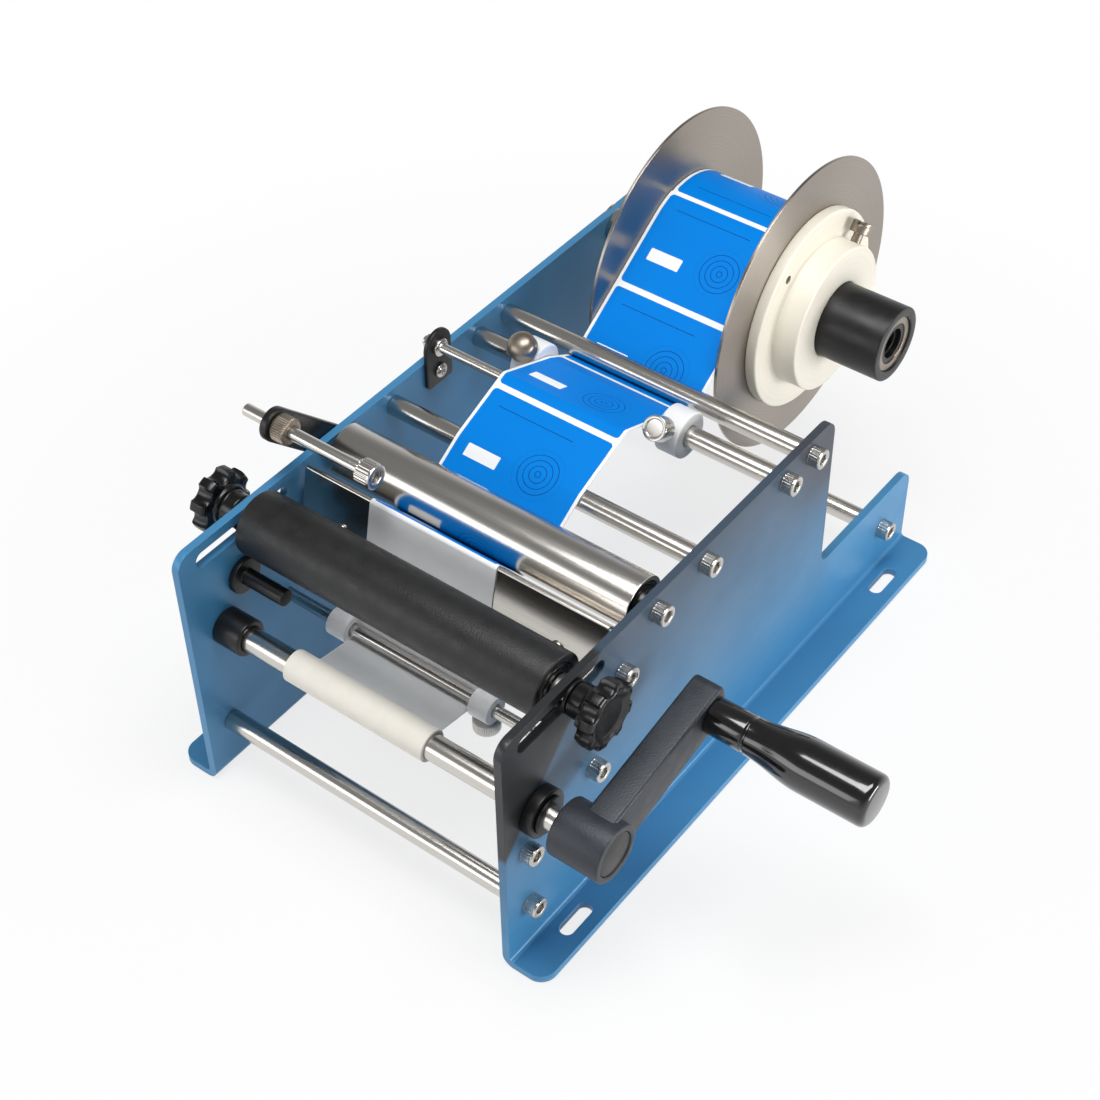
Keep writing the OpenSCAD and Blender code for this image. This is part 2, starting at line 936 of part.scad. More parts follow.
module crank_arm() {
    end_x = crank_r + arm_end;
    color(iron)
        on_crank()
            difference() {
                union() {
                    bar(hub_d, -hub_out, -hub_in);
                    upright(-arm_out, arm_t) {
                        polygon([[0, -arm_h0 / 2], [end_x - arm_end_r, -arm_h1 / 2],
                            [end_x - arm_end_r, arm_h1 / 2], [0, arm_h0 / 2]]);
                        translate([end_x - 2 * arm_end_r, arm_end_r - arm_h1 / 2])
                            square([2 * arm_end_r, arm_h1 - 2 * arm_end_r]);
                        for (z = [arm_end_r - arm_h1 / 2, arm_h1 / 2 - arm_end_r])
                            translate([end_x - arm_end_r, z])
                                circle(r = arm_end_r);
                    }
                }
                bar(shaft_d + 2 * fit, -hub_out - over, -hub_in + over);
                bar(cap_d + 2 * fit, -hub_out - over, -hub_out + cap_deep);
                translate([crank_r, 0, 0])
                    bar(spindle_d + 2 * fit, -arm_out - over, -arm_in + over);
            }
}

module crank_cap() {
    color(dark)
        on_crank()
            bar(cap_d, -hub_out + cap_deep - cap_t, -hub_out + cap_deep);
}

module grip_spindle() {
    color(steel)
        on_crank()
            translate([crank_r, 0, 0])
                bar(spindle_d, -arm_out - grip_len + grip_wall, -arm_in);
}

module crank_grip() {
    bore = spindle_d / 2 + play;
    groove_end = grip_collar_len + grip_groove_len;
    bore_end = grip_len - grip_wall + air;
    swell = grip_d - grip_waist_d;
    round_r = grip_d / 2 - grip_end_r;
    foot = [[bore, 0], [grip_collar_d / 2 - edge, 0], [grip_collar_d / 2, edge]];
    groove = [[grip_collar_d / 2, grip_collar_len], [grip_groove_d / 2, grip_collar_len + edge],
        [grip_groove_d / 2, groove_end - edge]];
    flare = [for (a = [0:30:180])
        [grip_waist_d / 2 + swell * (1 - cos(a)) / 4, groove_end + grip_flare_len * a / 180]];
    tip = [for (a = [0:15:90])
        [round_r + grip_end_r * cos(a), grip_len + grip_end_r * (sin(a) - 1)]];
    inside = [[0, grip_len], [0, bore_end], [bore, bore_end]];
    color(dark)
        on_crank()
            translate([crank_r, 0, 0])
                facing_right(arm_out + air)
                    rotate_extrude()
                        polygon(concat(foot, groove, flare, tip, inside));
}

module bottle_roller_axle() {
    color(steel)
        on_axis(bottle_at)
            bar(axle_d, -star_out + tap_spare, star_out - tap_spare);
}

module axle_spacers() {
    color(steel)
        on_axis(bottle_at)
            for (side = [0, 1])
                mirror([0, side, 0]) {
                    ring(spacer_d, axle_d + 2 * fit, spacer_out - spacer_t, spacer_out);
                    ring(washer_d, axle_d + 2 * fit, washer_in, washer_in + washer_t);
                }
}

module bottle_roller_core() {
    color(dark)
        on_axis(bottle_at)
            ring(core_d, axle_d + 2 * play, -bottle_half, bottle_half);
}

module bottle_roller_sleeve() {
    color(dark)
        on_axis(bottle_at)
            ring(bottle_d, core_d + 2 * fit, -bottle_half, bottle_half);
}

// Star knob with its neck at z = 0
module star_knob() {
    difference() {
        union() {
            cylinder(d = star_neck_d, h = star_neck + over);
            translate([0, 0, star_neck])
                linear_extrude(star_t)
                    difference() {
                        circle(d = star_d);
                        for (i = [1:star_lobes])
                            rotate(360 * i / star_lobes)
                                translate([star_d / 2 + star_notch_out, 0])
                                    circle(r = star_notch_r);
                    }
        }
        translate([0, 0, -over])
            cylinder(d = axle_d + 2 * play, h = star_neck + star_t - tap_spare + air + over);
    }
}

module star_knob_left() {
    color(dark)
        on_axis(bottle_at)
            facing_left(star_in)
                star_knob();
}

module star_knob_right() {
    color(dark)
        on_axis(bottle_at)
            facing_right(star_in)
                star_knob();
}

module press_roller_axle() {
    color(steel)
        cross_rod(press_at);
}

module press_roller_tube() {
    color(steel)
        on_axis(press_at)
            ring(press_d, press_d - 2 * press_wall, -press_half, press_half);
}

module press_roller_caps() {
    color(dark)
        on_axis(press_at)
            for (side = [0, 1])
                mirror([0, side, 0])
                    difference() {
                        union() {
                            bar(press_d - 2 * press_wall - 2 * fit, press_half - press_cap_t, press_half);
                            bar(press_boss_d, press_half - over, inner_y - air);
                        }
                        bar(rod_d + 2 * play, press_half - press_cap_t - over, inner_y + over);
                    }
}

module liner_guide_rod() {
    color(steel)
        on_axis(liner_at)
            bar(liner_d, -outer_y - liner_in, outer_y + nut_t + tap_spare);
}

module liner_collar_left() {
    y = web_left + collar_gap;
    color(cream)
        on_axis(liner_at)
            ring(liner_collar_d, liner_d + 2 * play, y, y + liner_collar_len);
}

module liner_collar_right() {
    y = web_right - collar_gap;
    color(cream)
        on_axis(liner_at)
            difference() {
                ring(liner_collar_d, liner_d + 2 * play, y - liner_collar_len, y);
                pointing(-90, y - liner_collar_len / 2)
                    cylinder(d = thumb_shank_d + 2 * play, h = liner_collar_d);
            }
}

module liner_thumbscrew() {
    seat = liner_collar_d / 2 + thumb_neck;
    color(steel)
        on_axis(liner_at)
            pointing(-90, web_right - collar_gap - liner_collar_len / 2) {
                translate([0, 0, liner_d / 2 + air])
                    cylinder(d = thumb_shank_d, h = seat - liner_d / 2 - air + over);
                translate([0, 0, seat])
                    head(thumb_d, thumb_t);
            }
}

module guide_stud() {
    color(dark)
        on_axis(stud_at) {
            bar(stud_flange_d, inner_y - stud_flange_t, inner_y);
            bar(stud_d, inner_y - stud_len, inner_y - stud_flange_t / 2);
            bar(screw_d, inner_y - over, outer_y + nut_t + tap_spare);
        }
}

module stop_arm() {
    color(dark)
        upright(outer_y + air, stop_t)
            translate(press_at)
                rotate(180 - stop_angle)
                    difference() {
                        slot(0, stop_len, 0, stop_w);
                        circle(d = screw_d + 2 * play);
                        translate([stop_len, 0])
                            circle(d = stop_rod_d + 2 * play);
                    }
}

module stop_nut() {
    y = outer_y + air;
    color(steel)
        on_axis(stop_at)
            ring(stop_hub_d, stop_rod_d + 2 * play, y - stop_hub_t, y);
}

module stop_rod() {
    y = outer_y - stop_reach;
    color(steel)
        on_axis(stop_at) {
            bar(stop_rod_d, y - over, outer_y + stop_tail);
            facing_right(-y)
                difference() {
                    head(stop_head_d, stop_head_h);
                    key_socket(key_w, stop_head_h, key_deep);
                }
        }
}

module stop_pivot_screw() {
    reach = plate_t + 2 * air + stop_t;
    color(steel)
        on_axis(press_at)
            facing_left(outer_y + 2 * air + stop_t)
                socket_screw(reach + screw_grip);
}

module finger_bracket() {
    color(dark)
        upright(inner_y - bracket_t, bracket_t)
            difference() {
                union() {
                    translate([finger_at[0] - bracket_w / 2, finger_screw_at[1] - finger_head_d])
                        square([bracket_w, finger_at[1] - finger_screw_at[1] + finger_head_d]);
                    hole_at(finger_at, bracket_w);
                }
                hole_at(finger_at, finger_d + 2 * fit);
                hole_at(finger_screw_at, finger_screw_d + hole_play);
            }
}

module finger_screw() {
    color(steel)
        on_axis(finger_screw_at)
            facing_right(bracket_t - inner_y) {
                head(finger_head_d, finger_head_h);
                translate([0, 0, -bracket_t - plate_t])
                    cylinder(d = finger_screw_d, h = bracket_t + plate_t + over);
            }
}

module tension_finger() {
    color(steel)
        on_axis(finger_at) {
            bar(finger_d, web_right + finger_past, inner_y + finger_nut_t + tap_spare);
            bar(finger_d + 2 * finger_rim, inner_y - bracket_t - finger_rim_t, inner_y - bracket_t);
        }
}

module finger_nut() {
    color(steel)
        on_axis(finger_at)
            facing_left(inner_y)
                nut(finger_nut_w, finger_nut_t, finger_d);
}

// Collar on the label guide rod with a tapped hole for its knob
module guide_collar(y, angle) {
    on_axis(guide_rod_at)
        difference() {
            ring(guide_d, rod_d + 2 * play, y - guide_len / 2, y + guide_len / 2);
            pointing(angle, y)
                cylinder(d = knob_shank_d + 2 * play, h = guide_d);
        }
}

module guide_collar_left() {
    color(cream)
        guide_collar(left_guide_y, dome_angle);
}

module guide_collar_right() {
    color(cream)
        guide_collar(right_guide_y, flat_angle);
}

module guide_knob_left() {
    seat = guide_d / 2 + dome_neck;
    dome = [for (a = [0:15:90]) [dome_d / 2 * cos(a), dome_skirt + (dome_h - dome_skirt) * sin(a)]];
    color(steel)
        on_axis(guide_rod_at)
            pointing(dome_angle, left_guide_y) {
                translate([0, 0, rod_d / 2 + air])
                    cylinder(d = knob_shank_d, h = seat - rod_d / 2 - air + over);
                translate([0, 0, seat])
                    rotate_extrude()
                        polygon(concat([[0, 0], [dome_d / 2, 0]], dome));
            }
}

module guide_knob_right() {
    seat = guide_d / 2 + flat_neck;
    color(steel)
        on_axis(guide_rod_at)
            pointing(flat_angle, right_guide_y) {
                translate([0, 0, rod_d / 2 + air])
                    cylinder(d = knob_shank_d, h = guide_d / 2 - rod_d / 2);
                translate([0, 0, guide_d / 2 + air])
                    cylinder(d = flat_neck_d, h = flat_neck);
                translate([0, 0, seat])
                    head(flat_d, flat_h);
            }
}

module mandrel_spindle() {
    step_end = tube_left - bearing_sunk + air;
    end_y = tube_right + spindle_sunk;
    color(steel)
        on_axis(roll_at)
            difference() {
                union() {
                    bar(mandrel_d, end_y, step_end + over);
                    bar(mandrel_step_d, step_end, inner_y);
                    bar(stub_d, inner_y - over, outer_y);
                }
                bar(mandrel_d - 2 * mandrel_wall, end_y - over, end_y + mandrel_bore_deep);
            }
}

module mandrel_nut() {
    color(steel)
        on_axis(roll_at)
            facing_left(outer_y)
                difference() {
                    sunk_cone(stub_d + 2 * stub_nut_rim, 0);
                    translate([0, 0, -sunk_deep - over])
                        cylinder(d = stub_d + tap_play, h = sunk_deep + 2 * over);
                }
}

module mandrel_bearings() {
    color(steel)
        on_axis(roll_at)
            for (y = [tube_right + bearing_sunk, tube_left - bearing_sunk - bearing_w])
                ring(bearing_d - 2 * fit, mandrel_d + 2 * play, y, y + bearing_w);
}

module mandrel_tube() {
    color(dark)
        on_axis(roll_at)
            ring(tube_d, bearing_d, tube_right, tube_left);
}

module left_flange_hub() {
    color(cream)
        on_axis(roll_at)
            ring(left_hub_d, tube_d + 2 * fit, left_hub_y, tube_left);
}

module left_disc() {
    color(steel)
        on_axis(roll_at)
            ring(disc_d, tube_d + 2 * fit, left_disc_y, left_hub_y);
}

module label_core() {
    color(cream)
        on_axis(roll_at)
            ring(core_out, tube_d + 2 * core_play, web_right, web_left);
}

module label_roll() {
    color([0.1, 0.5, 0.9])
        on_axis(roll_at)
            ring(roll_d, core_out + 2 * fit, web_right, web_left);
}

module right_disc() {
    color(steel)
        on_axis(roll_at)
            ring(disc_d, tube_d + 2 * play, right_disc_y, right_disc_y + disc_t);
}

module right_flange_hub() {
    color(cream)
        on_axis(roll_at)
            difference() {
                union() {
                    bar(hub_big_d, hub_step_y, right_disc_y);
                    bar(hub_small_d, right_hub_y, hub_step_y + over);
                }
                bar(tube_d + 2 * play, right_hub_y - over, right_disc_y + over);
                pointing(lock_angle, lock_y)
                    cylinder(d = lock_d + 2 * play, h = hub_small_d);
                translate([pin_hole_r * cos(pin_hole_angle), 0, pin_hole_r * sin(pin_hole_angle)])
                    bar(pin_hole_d, hub_step_y - over, hub_step_y + pin_hole_deep);
            }
}

module hub_lock_screw() {
    seat = hub_small_d / 2 + lock_neck;
    color(steel)
        on_axis(roll_at)
            pointing(lock_angle, lock_y) {
                translate([0, 0, tube_d / 2 + air])
                    cylinder(d = lock_d, h = seat - tube_d / 2 - air + over);
                translate([0, 0, seat])
                    difference() {
                        head(lock_head_d, lock_head_h);
                        translate([-lock_head_d, -lock_slot_w / 2, lock_head_h - lock_slot_deep])
                            cube([2 * lock_head_d, lock_slot_w, lock_slot_deep + over]);
                    }
            }
}

module label_web() {
    color([0.85, 0.92, 0.98])
        across(web_right, web_left)
            polygon(concat(web_side(web_t / 2), backwards(web_side(-web_t / 2))));
}

left_side_plate();
right_side_plate();
front_tie_rod();
rear_tie_rod();
upper_tie_rod();
label_guide_rod();
web_support_rod();
peel_rod();
peel_plate();
peel_screws();
right_plate_screws();
left_plate_screws();
plain_nuts();
shaft_bush_left();
shaft_bush_right();
drive_shaft();
shaft_clips();
drive_sleeve();
crank_arm();
crank_cap();
grip_spindle();
crank_grip();
bottle_roller_axle();
axle_spacers();
bottle_roller_core();
bottle_roller_sleeve();
star_knob_left();
star_knob_right();
press_roller_axle();
press_roller_tube();
press_roller_caps();
liner_guide_rod();
liner_collar_left();
liner_collar_right();
liner_thumbscrew();
guide_stud();
stop_arm();
stop_nut();
stop_rod();
stop_pivot_screw();
finger_bracket();
finger_screw();
tension_finger();
finger_nut();
guide_collar_left();
guide_knob_left();
guide_collar_right();
guide_knob_right();
mandrel_spindle();
mandrel_nut();
mandrel_bearings();
mandrel_tube();
left_flange_hub();
left_disc();
label_core();
label_roll();
right_disc();
right_flange_hub();
hub_lock_screw();
label_web();
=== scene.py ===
"""Hand-cranked bench labeller: surfaces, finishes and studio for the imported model.

Lengths of surfaces are millimetres. Settings, materials and the studio use metres. Angles are
radians. +X runs from the front to the rear, +Y towards the left plate, +Z up.
"""

import json
import math

import bmesh
import bpy
import numpy as np
from mathutils import Matrix, Vector

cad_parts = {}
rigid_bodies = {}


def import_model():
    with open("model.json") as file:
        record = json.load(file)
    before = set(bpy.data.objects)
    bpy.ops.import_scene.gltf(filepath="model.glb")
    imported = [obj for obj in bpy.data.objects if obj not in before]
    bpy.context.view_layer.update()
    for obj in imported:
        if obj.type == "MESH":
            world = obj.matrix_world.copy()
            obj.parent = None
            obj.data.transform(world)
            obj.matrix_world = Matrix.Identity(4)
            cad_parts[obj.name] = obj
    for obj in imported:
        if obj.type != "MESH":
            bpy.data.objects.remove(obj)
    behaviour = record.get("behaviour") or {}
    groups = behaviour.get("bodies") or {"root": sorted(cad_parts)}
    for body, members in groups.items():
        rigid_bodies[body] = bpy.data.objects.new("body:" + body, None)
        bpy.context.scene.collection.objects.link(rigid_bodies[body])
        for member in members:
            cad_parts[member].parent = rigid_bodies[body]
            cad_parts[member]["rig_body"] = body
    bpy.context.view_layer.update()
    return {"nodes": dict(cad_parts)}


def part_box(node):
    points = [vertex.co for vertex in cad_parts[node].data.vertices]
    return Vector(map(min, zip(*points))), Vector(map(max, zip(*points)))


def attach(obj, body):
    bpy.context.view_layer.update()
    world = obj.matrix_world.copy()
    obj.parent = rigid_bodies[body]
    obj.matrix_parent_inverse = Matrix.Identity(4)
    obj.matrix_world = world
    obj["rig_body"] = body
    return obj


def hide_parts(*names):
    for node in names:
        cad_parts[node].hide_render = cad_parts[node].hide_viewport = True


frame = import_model()

bl_info = {
    "name": "Bench Labeller",
    "version": (1, 0, 0),
    "blender": (4, 5, 0),
    "location": "3D View > Sidebar > Labeller",
    "description": "Builds the surfaces, finishes and studio of a hand-cranked bench labeller",
    "category": "Object",
}

MM = 0.001

RIGHT = (0.0, -1.0, 0.0)
LEFT = (0.0, 1.0, 0.0)
WHITE = (1.0, 1.0, 1.0)

# Rods with a screw at each end, and how far the feet stand out from the plates.
SCREWED_RODS = ("front_tie_rod", "rear_tie_rod", "upper_tie_rod", "label_guide_rod",
                "web_support_rod", "peel_rod")
FOOT_REACH = 19.0
# Bores round the shaft and the bottle roller's axle, each with a little play.
SHAFT_BORE = 12.1
AXLE_BORE = 8.04
# The strip's steps along each contact, and the peel plate's place among the contacts.
ARC_STEPS = 25
NOSE_CONTACT = 6


def spot(node):
    """Lowest corner, highest corner and middle of a CAD node."""
    low, high = (np.array(corner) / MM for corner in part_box(node))
    return low, high, (low + high) / 2


def span(node):
    """Right and left end of a CAD node, as two values of y."""
    low, high, _ = spot(node)
    return low[1], high[1]


def across(at, y=0.0):
    """Point at a given y on the axis that runs across the machine through a node or a place."""
    middle = spot(at)[2] if isinstance(at, str) else at
    return np.array([middle[0], y, middle[2]])


def outward(turn):
    """Unit vector square to such an axis, at an angle from the rear upwards."""
    return np.array([math.cos(turn), 0.0, math.sin(turn)])


def left_of(heading):
    """Unit vectors square to the left of headings."""
    return np.stack([-np.sin(heading), np.cos(heading)], axis=-1)


def soften(points, radius, steps=3, closed=False):
    """Profile whose corners are parabolas.

    Each one runs from a point on the side before the corner to one on the side after it, with the
    corner as its control point. Columns past the second are carried along.
    """
    points = np.asarray(points, float)
    if closed:
        points = np.vstack([points[-1:], points, points[:1]])
    legs = np.diff(points, axis=0)
    lengths = np.linalg.norm(legs[:, :2], axis=1)
    most = 0.45
    before = np.minimum(radius / lengths[:-1], most)[:, None]
    after = np.minimum(radius / lengths[1:], most)[:, None]
    corner = points[1:-1]
    start = (corner - legs[:-1] * before)[:, None]
    stop = (corner + legs[1:] * after)[:, None]
    t = np.linspace(0.0, 1.0, steps + 1)[None, :, None]
    bends = (1 - t) ** 2 * start + 2 * t * (1 - t) * corner[:, None] + t ** 2 * stop
    bends = bends.reshape(-1, points.shape[1])
    return bends if closed else np.vstack([points[:1], bends, points[-1:]])


def quads(rows, columns, closed=False):
    """Corners of every cell in a grid of points whose columns go round, as rows of four indices."""
    i = np.arange(rows if closed else rows - 1)
    i, j = np.meshgrid(i, np.arange(columns), indexing="ij")
    k = (i + 1) % rows
    m = (j + 1) % columns
    cells = [i * columns + j, i * columns + m, k * columns + m, k * columns + j]
    return np.stack(cells, axis=-1).reshape(-1, 4)


def lathe(profile, seat, axis=LEFT, around=96, shapes=(), closed=False):
    """Surface of revolution from rows of distance along the axis, radius and shape weights.

    At an angle a the point is seat + along axis + radius (1 + weight shape(a)) (cos a u + sin a v),
    with u and v square to the axis and one factor for each shape. Radius zero at an end closes it,
    and closed joins the last row to the first.
    """
    profile = np.asarray(profile, float)
    axis = np.asarray(axis, float) / np.linalg.norm(axis)
    helper = np.array([0.0, 0.0, 1.0]) if abs(axis[2]) < 0.9 else np.array([1.0, 0.0, 0.0])
    u = np.cross(axis, helper)
    u /= np.linalg.norm(u)
    v = np.cross(axis, u)
    angle = np.linspace(0.0, 2 * math.pi, around, endpoint=False)
    spokes = np.cos(angle)[:, None] * u + np.sin(angle)[:, None] * v
    radius = np.repeat(profile[:, 1:2], around, axis=1)
    for weight, shape in zip(profile.T[2:], shapes):
        radius = radius * (1 + weight[:, None] * shape(angle)[None, :])
    points = np.asarray(seat, float) + profile[:, 0, None, None] * axis + radius[..., None] * spokes
    return points.reshape(-1, 3), quads(len(profile), around, closed).tolist()


def slab(outline, y0, y1, edge, steps=4):
    """Plate between two planes across the machine, from a closed outline in x and z.

    Its rows are the outline moved inwards along its normals by edge (1 - sin a), at a depth of
    edge (1 - cos a) from each plane, so both rims are quarter circles. The ends are flat.
    """
    outline = np.asarray(outline, float)
    after = np.roll(outline, -1, axis=0)
    if np.sum(outline[:, 0] * after[:, 1] - after[:, 0] * outline[:, 1]) < 0:
        outline = outline[::-1]
    ahead = np.roll(outline, -1, axis=0) - np.roll(outline, 1, axis=0)
    ahead /= np.linalg.norm(ahead, axis=1)[:, None]
    inward = np.stack([-ahead[:, 1], ahead[:, 0]], axis=1)
    a = np.linspace(0.0, math.pi / 2, steps + 1)
    inset = edge * (1 - np.sin(a))
    depth = edge * (1 - np.cos(a))
    inset = np.concatenate([inset, inset[::-1]])
    y = np.concatenate([y0 + depth, (y1 - depth)[::-1]])
    flat = outline[None] + inset[:, None, None] * inward[None]
    y_rows = np.repeat(y[:, None], len(outline), axis=1)
    points = np.stack([flat[..., 0], y_rows, flat[..., 1]], axis=-1)
    first = np.arange(len(outline))
    ends = [first.tolist(), (first + (len(y) - 1) * len(outline)).tolist()]
    return points.reshape(-1, 3), quads(len(y), len(outline)).tolist() + ends


def drilled(part, around, rows, columns, centre, inward, radius, depth):
    """Surface of revolution with a round blind hole in one of its flat faces.

    The cells between two rows and two columns give way to rings: their outline, then points in the
    outline's directions on circles round the centre, at the mouth and down the wall. The floor is
    flat.
    """
    points, faces = part
    (r0, r1), (c0, c1) = rows, columns
    i, j = np.meshgrid(np.arange(r0, r1), np.arange(c0, c1), indexing="ij")
    outline = np.concatenate([
        r0 * around + np.arange(c0, c1), np.arange(r0, r1) * around + c1,
        r1 * around + np.arange(c1, c0, -1), np.arange(r1, r0, -1) * around + c0])
    edge = points[outline]
    out = (edge - centre) / np.linalg.norm(edge - centre, axis=1)[:, None]
    inward = np.asarray(inward, float)
    lip = 0.2
    wall = centre + radius * out
    rings = [edge, centre + (radius + lip) * out, wall + lip * inward, wall + depth * inward]
    cells = quads(len(rings), len(outline)) + len(points)
    bottom = np.arange(len(outline)) + len(points) + (len(rings) - 1) * len(outline)
    kept = np.delete(np.asarray(faces), (i * around + j).ravel(), axis=0)
    return np.vstack([points, *rings]), kept.tolist() + cells.tolist() + [bottom.tolist()]


def hexagon(angle):
    """How far a hexagon's edge is outside its inscribed circle, as a share of the radius."""
    return 1 / np.cos((angle + math.pi / 6) % (math.pi / 3) - math.pi / 6) - 1


def flutes(angle):
    """Twenty-four shallow grooves, as a share of the radius: a raised cosine, cut inwards."""
    return -0.025 * (1 + np.cos(24 * angle))


def lobes(angle):
    """Eight round notches, as a share of the radius: arcs of a circle, blended into the rim."""
    half = math.pi / 8
    phase = (angle + half) % (2 * half) - half
    middle, radius, outside, blend = 17.0 / 16, 4.0 / 16, 1.2, 7
    inside = np.maximum(radius ** 2 - (middle * np.sin(phase)) ** 2, 0.0)
    notch = np.where(inside > 0, middle * np.cos(phase) - np.sqrt(inside), outside)
    return (notch ** -blend + 1.0) ** (-1 / blend) - 1


def capsule(p, q, width, steps=24):
    """Outline in x and z of a bar with round ends between two places."""
    p, q = np.asarray(p, float), np.asarray(q, float)
    lean = math.atan2(q[1] - p[1], q[0] - p[0])
    a = lean + math.pi / 2 + np.linspace(0.0, math.pi, steps + 1)
    arc = width / 2 * np.stack([np.cos(a), np.sin(a)], axis=1)
    return np.vstack([p + arc, q - arc])


def turned(at, corners, edge, closed=False):
    """Softened profile turned round the axis across the machine through a node or a place."""
    return lathe(soften(corners, edge, closed=closed), across(at), closed=closed)


def rod(d, y0, y1, at):
    """Bar with softened ends, across the machine through a node or a place."""
    return turned(at, [(y0, 0), (y0, d / 2), (y1, d / 2), (y1, 0)], 0.6)


def ring(d_out, d_in, y0, y1, at, edge=0.4, around=96):
    """Ring with softened rims, across the machine through a node or a place."""
    corners = [(y0, d_in / 2), (y0, d_out / 2), (y1, d_out / 2), (y1, d_in / 2)]
    return lathe(soften(corners, edge, closed=True), across(at), LEFT, around, closed=True)


def tube(node, d_out, d_in, edge=0.4, around=96, at=None):
    """Ring as long as a node, on its own axis or on that of another node."""
    return ring(d_out, d_in, *span(node), at or node, edge, around)


def socket_head(seat, axis, d=10.0, h=6.0, key=5.0, deep=3.4):
    """Cylinder head with a knurled side and a hexagonal socket, from its seat outwards."""
    r, k = d / 2, key / 2
    profile = [(0, 0, 0, 0), (0, r, 0, 0), (0.4, r, 0, 1), (h - 1.3, r, 0, 1), (h - 1.0, r, 0, 0),
               (h, r - 0.2, 0, 0), (h, k + 0.5, 0.6, 0), (h - 0.5, k, 1, 0), (h - deep, k, 1, 0),
               (h - deep - 0.5, 0, 0, 0)]
    return lathe(soften(profile, 0.4), seat, axis, 144, (hexagon, flutes))


def sunk_head(seat, axis, d=12.0, thread=6.0, key=4.0, deep=1.8):
    """Countersunk head with a hexagonal socket, flush at its seat and narrowing below it."""
    low, k = (thread - d) / 2, key / 2
    profile = [(low, 0, 0), (low, thread / 2, 0), (-0.1, d / 2 - 0.1, 0), (-0.1, k + 0.5, 0.6),
               (-0.5, k, 1), (-deep, k, 1), (-deep - 0.4, 0, 0)]
    return lathe(soften(profile, 0.25), seat, axis, 96, (hexagon,))


def knurled(d_out, d_in, y0, y1, at, teeth, depth):
    """Ring across the machine whose outer face is a cosine of the angle, with teeth and a depth."""
    rim, bevel = d_out / 2, 0.8
    corners = [(y0, d_in / 2, 0), (y0, rim - bevel, 0), (y0 + bevel, rim - depth, 1),
               (y1 - bevel, rim - depth, 1), (y1, rim - bevel, 0), (y1, d_in / 2, 0)]
    share = 2 * depth / d_out
    return lathe(soften(corners, 0.3, closed=True), across(at), LEFT, 12 * teeth,
                 (lambda angle: share * np.cos(teeth * angle),), closed=True)


def turned_to(part, axis, seat):
    """Surface drawn with its own +Y along an axis, carried to a seat."""
    points, faces = part
    axis = np.asarray(axis, float)
    side = np.cross(axis, LEFT)
    side /= np.linalg.norm(side)
    basis = np.stack([side, axis, np.cross(side, axis)])
    return points @ basis + np.asarray(seat, float), faces


def hex_nut(seat, width, t, bore):
    """Nut with a bore, from its seat towards the left."""
    corners = [(0, bore / 2, 0), (0, width / 2, 1), (t, width / 2, 1), (t, bore / 2, 0)]
    return lathe(soften(corners, 0.4, closed=True), seat, LEFT, 96, (hexagon,), closed=True)


def show(name, points, faces, sharp, merge=True):
    """Smooth object from points in millimetres: faces outward, edges past an angle sharp."""
    mesh = bpy.data.meshes.new(name)
    mesh.from_pydata((points * MM).tolist(), [], faces)
    work = bmesh.new()
    work.from_mesh(mesh)
    if merge:
        bmesh.ops.remove_doubles(work, verts=work.verts, dist=1e-7)
    bmesh.ops.recalc_face_normals(work, faces=work.faces)
    work.to_mesh(mesh)
    work.free()
    mesh.shade_smooth()
    mesh.set_sharp_from_angle(angle=math.radians(sharp))
    obj = bpy.data.objects.new(name, mesh)
    bpy.context.scene.collection.objects.link(obj)
    return obj


def place(obj, node):
    """Hands an object to the frame: the node that it stands for and its body."""
    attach(obj, frame["nodes"][node]["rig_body"])
    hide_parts(node)


def piece(node, look, *parts, name=None, slot=None, sharp=38.0):
    """Object from surfaces in millimetres, in place of a CAD node and in a finish by name.

    It takes the node's name, unless another is given. The slot argument is not used.
    """
    starts = np.cumsum([0] + [len(points) for points, faces in parts[:-1]])
    points = np.vstack([points for points, faces in parts])
    faces = [[i + start for i in face] for (_, some), start in zip(parts, starts) for face in some]
    obj = show(name or node.capitalize(), points, faces, sharp)
    obj.data.materials.append(finish(look))
    place(obj, node)
    return obj


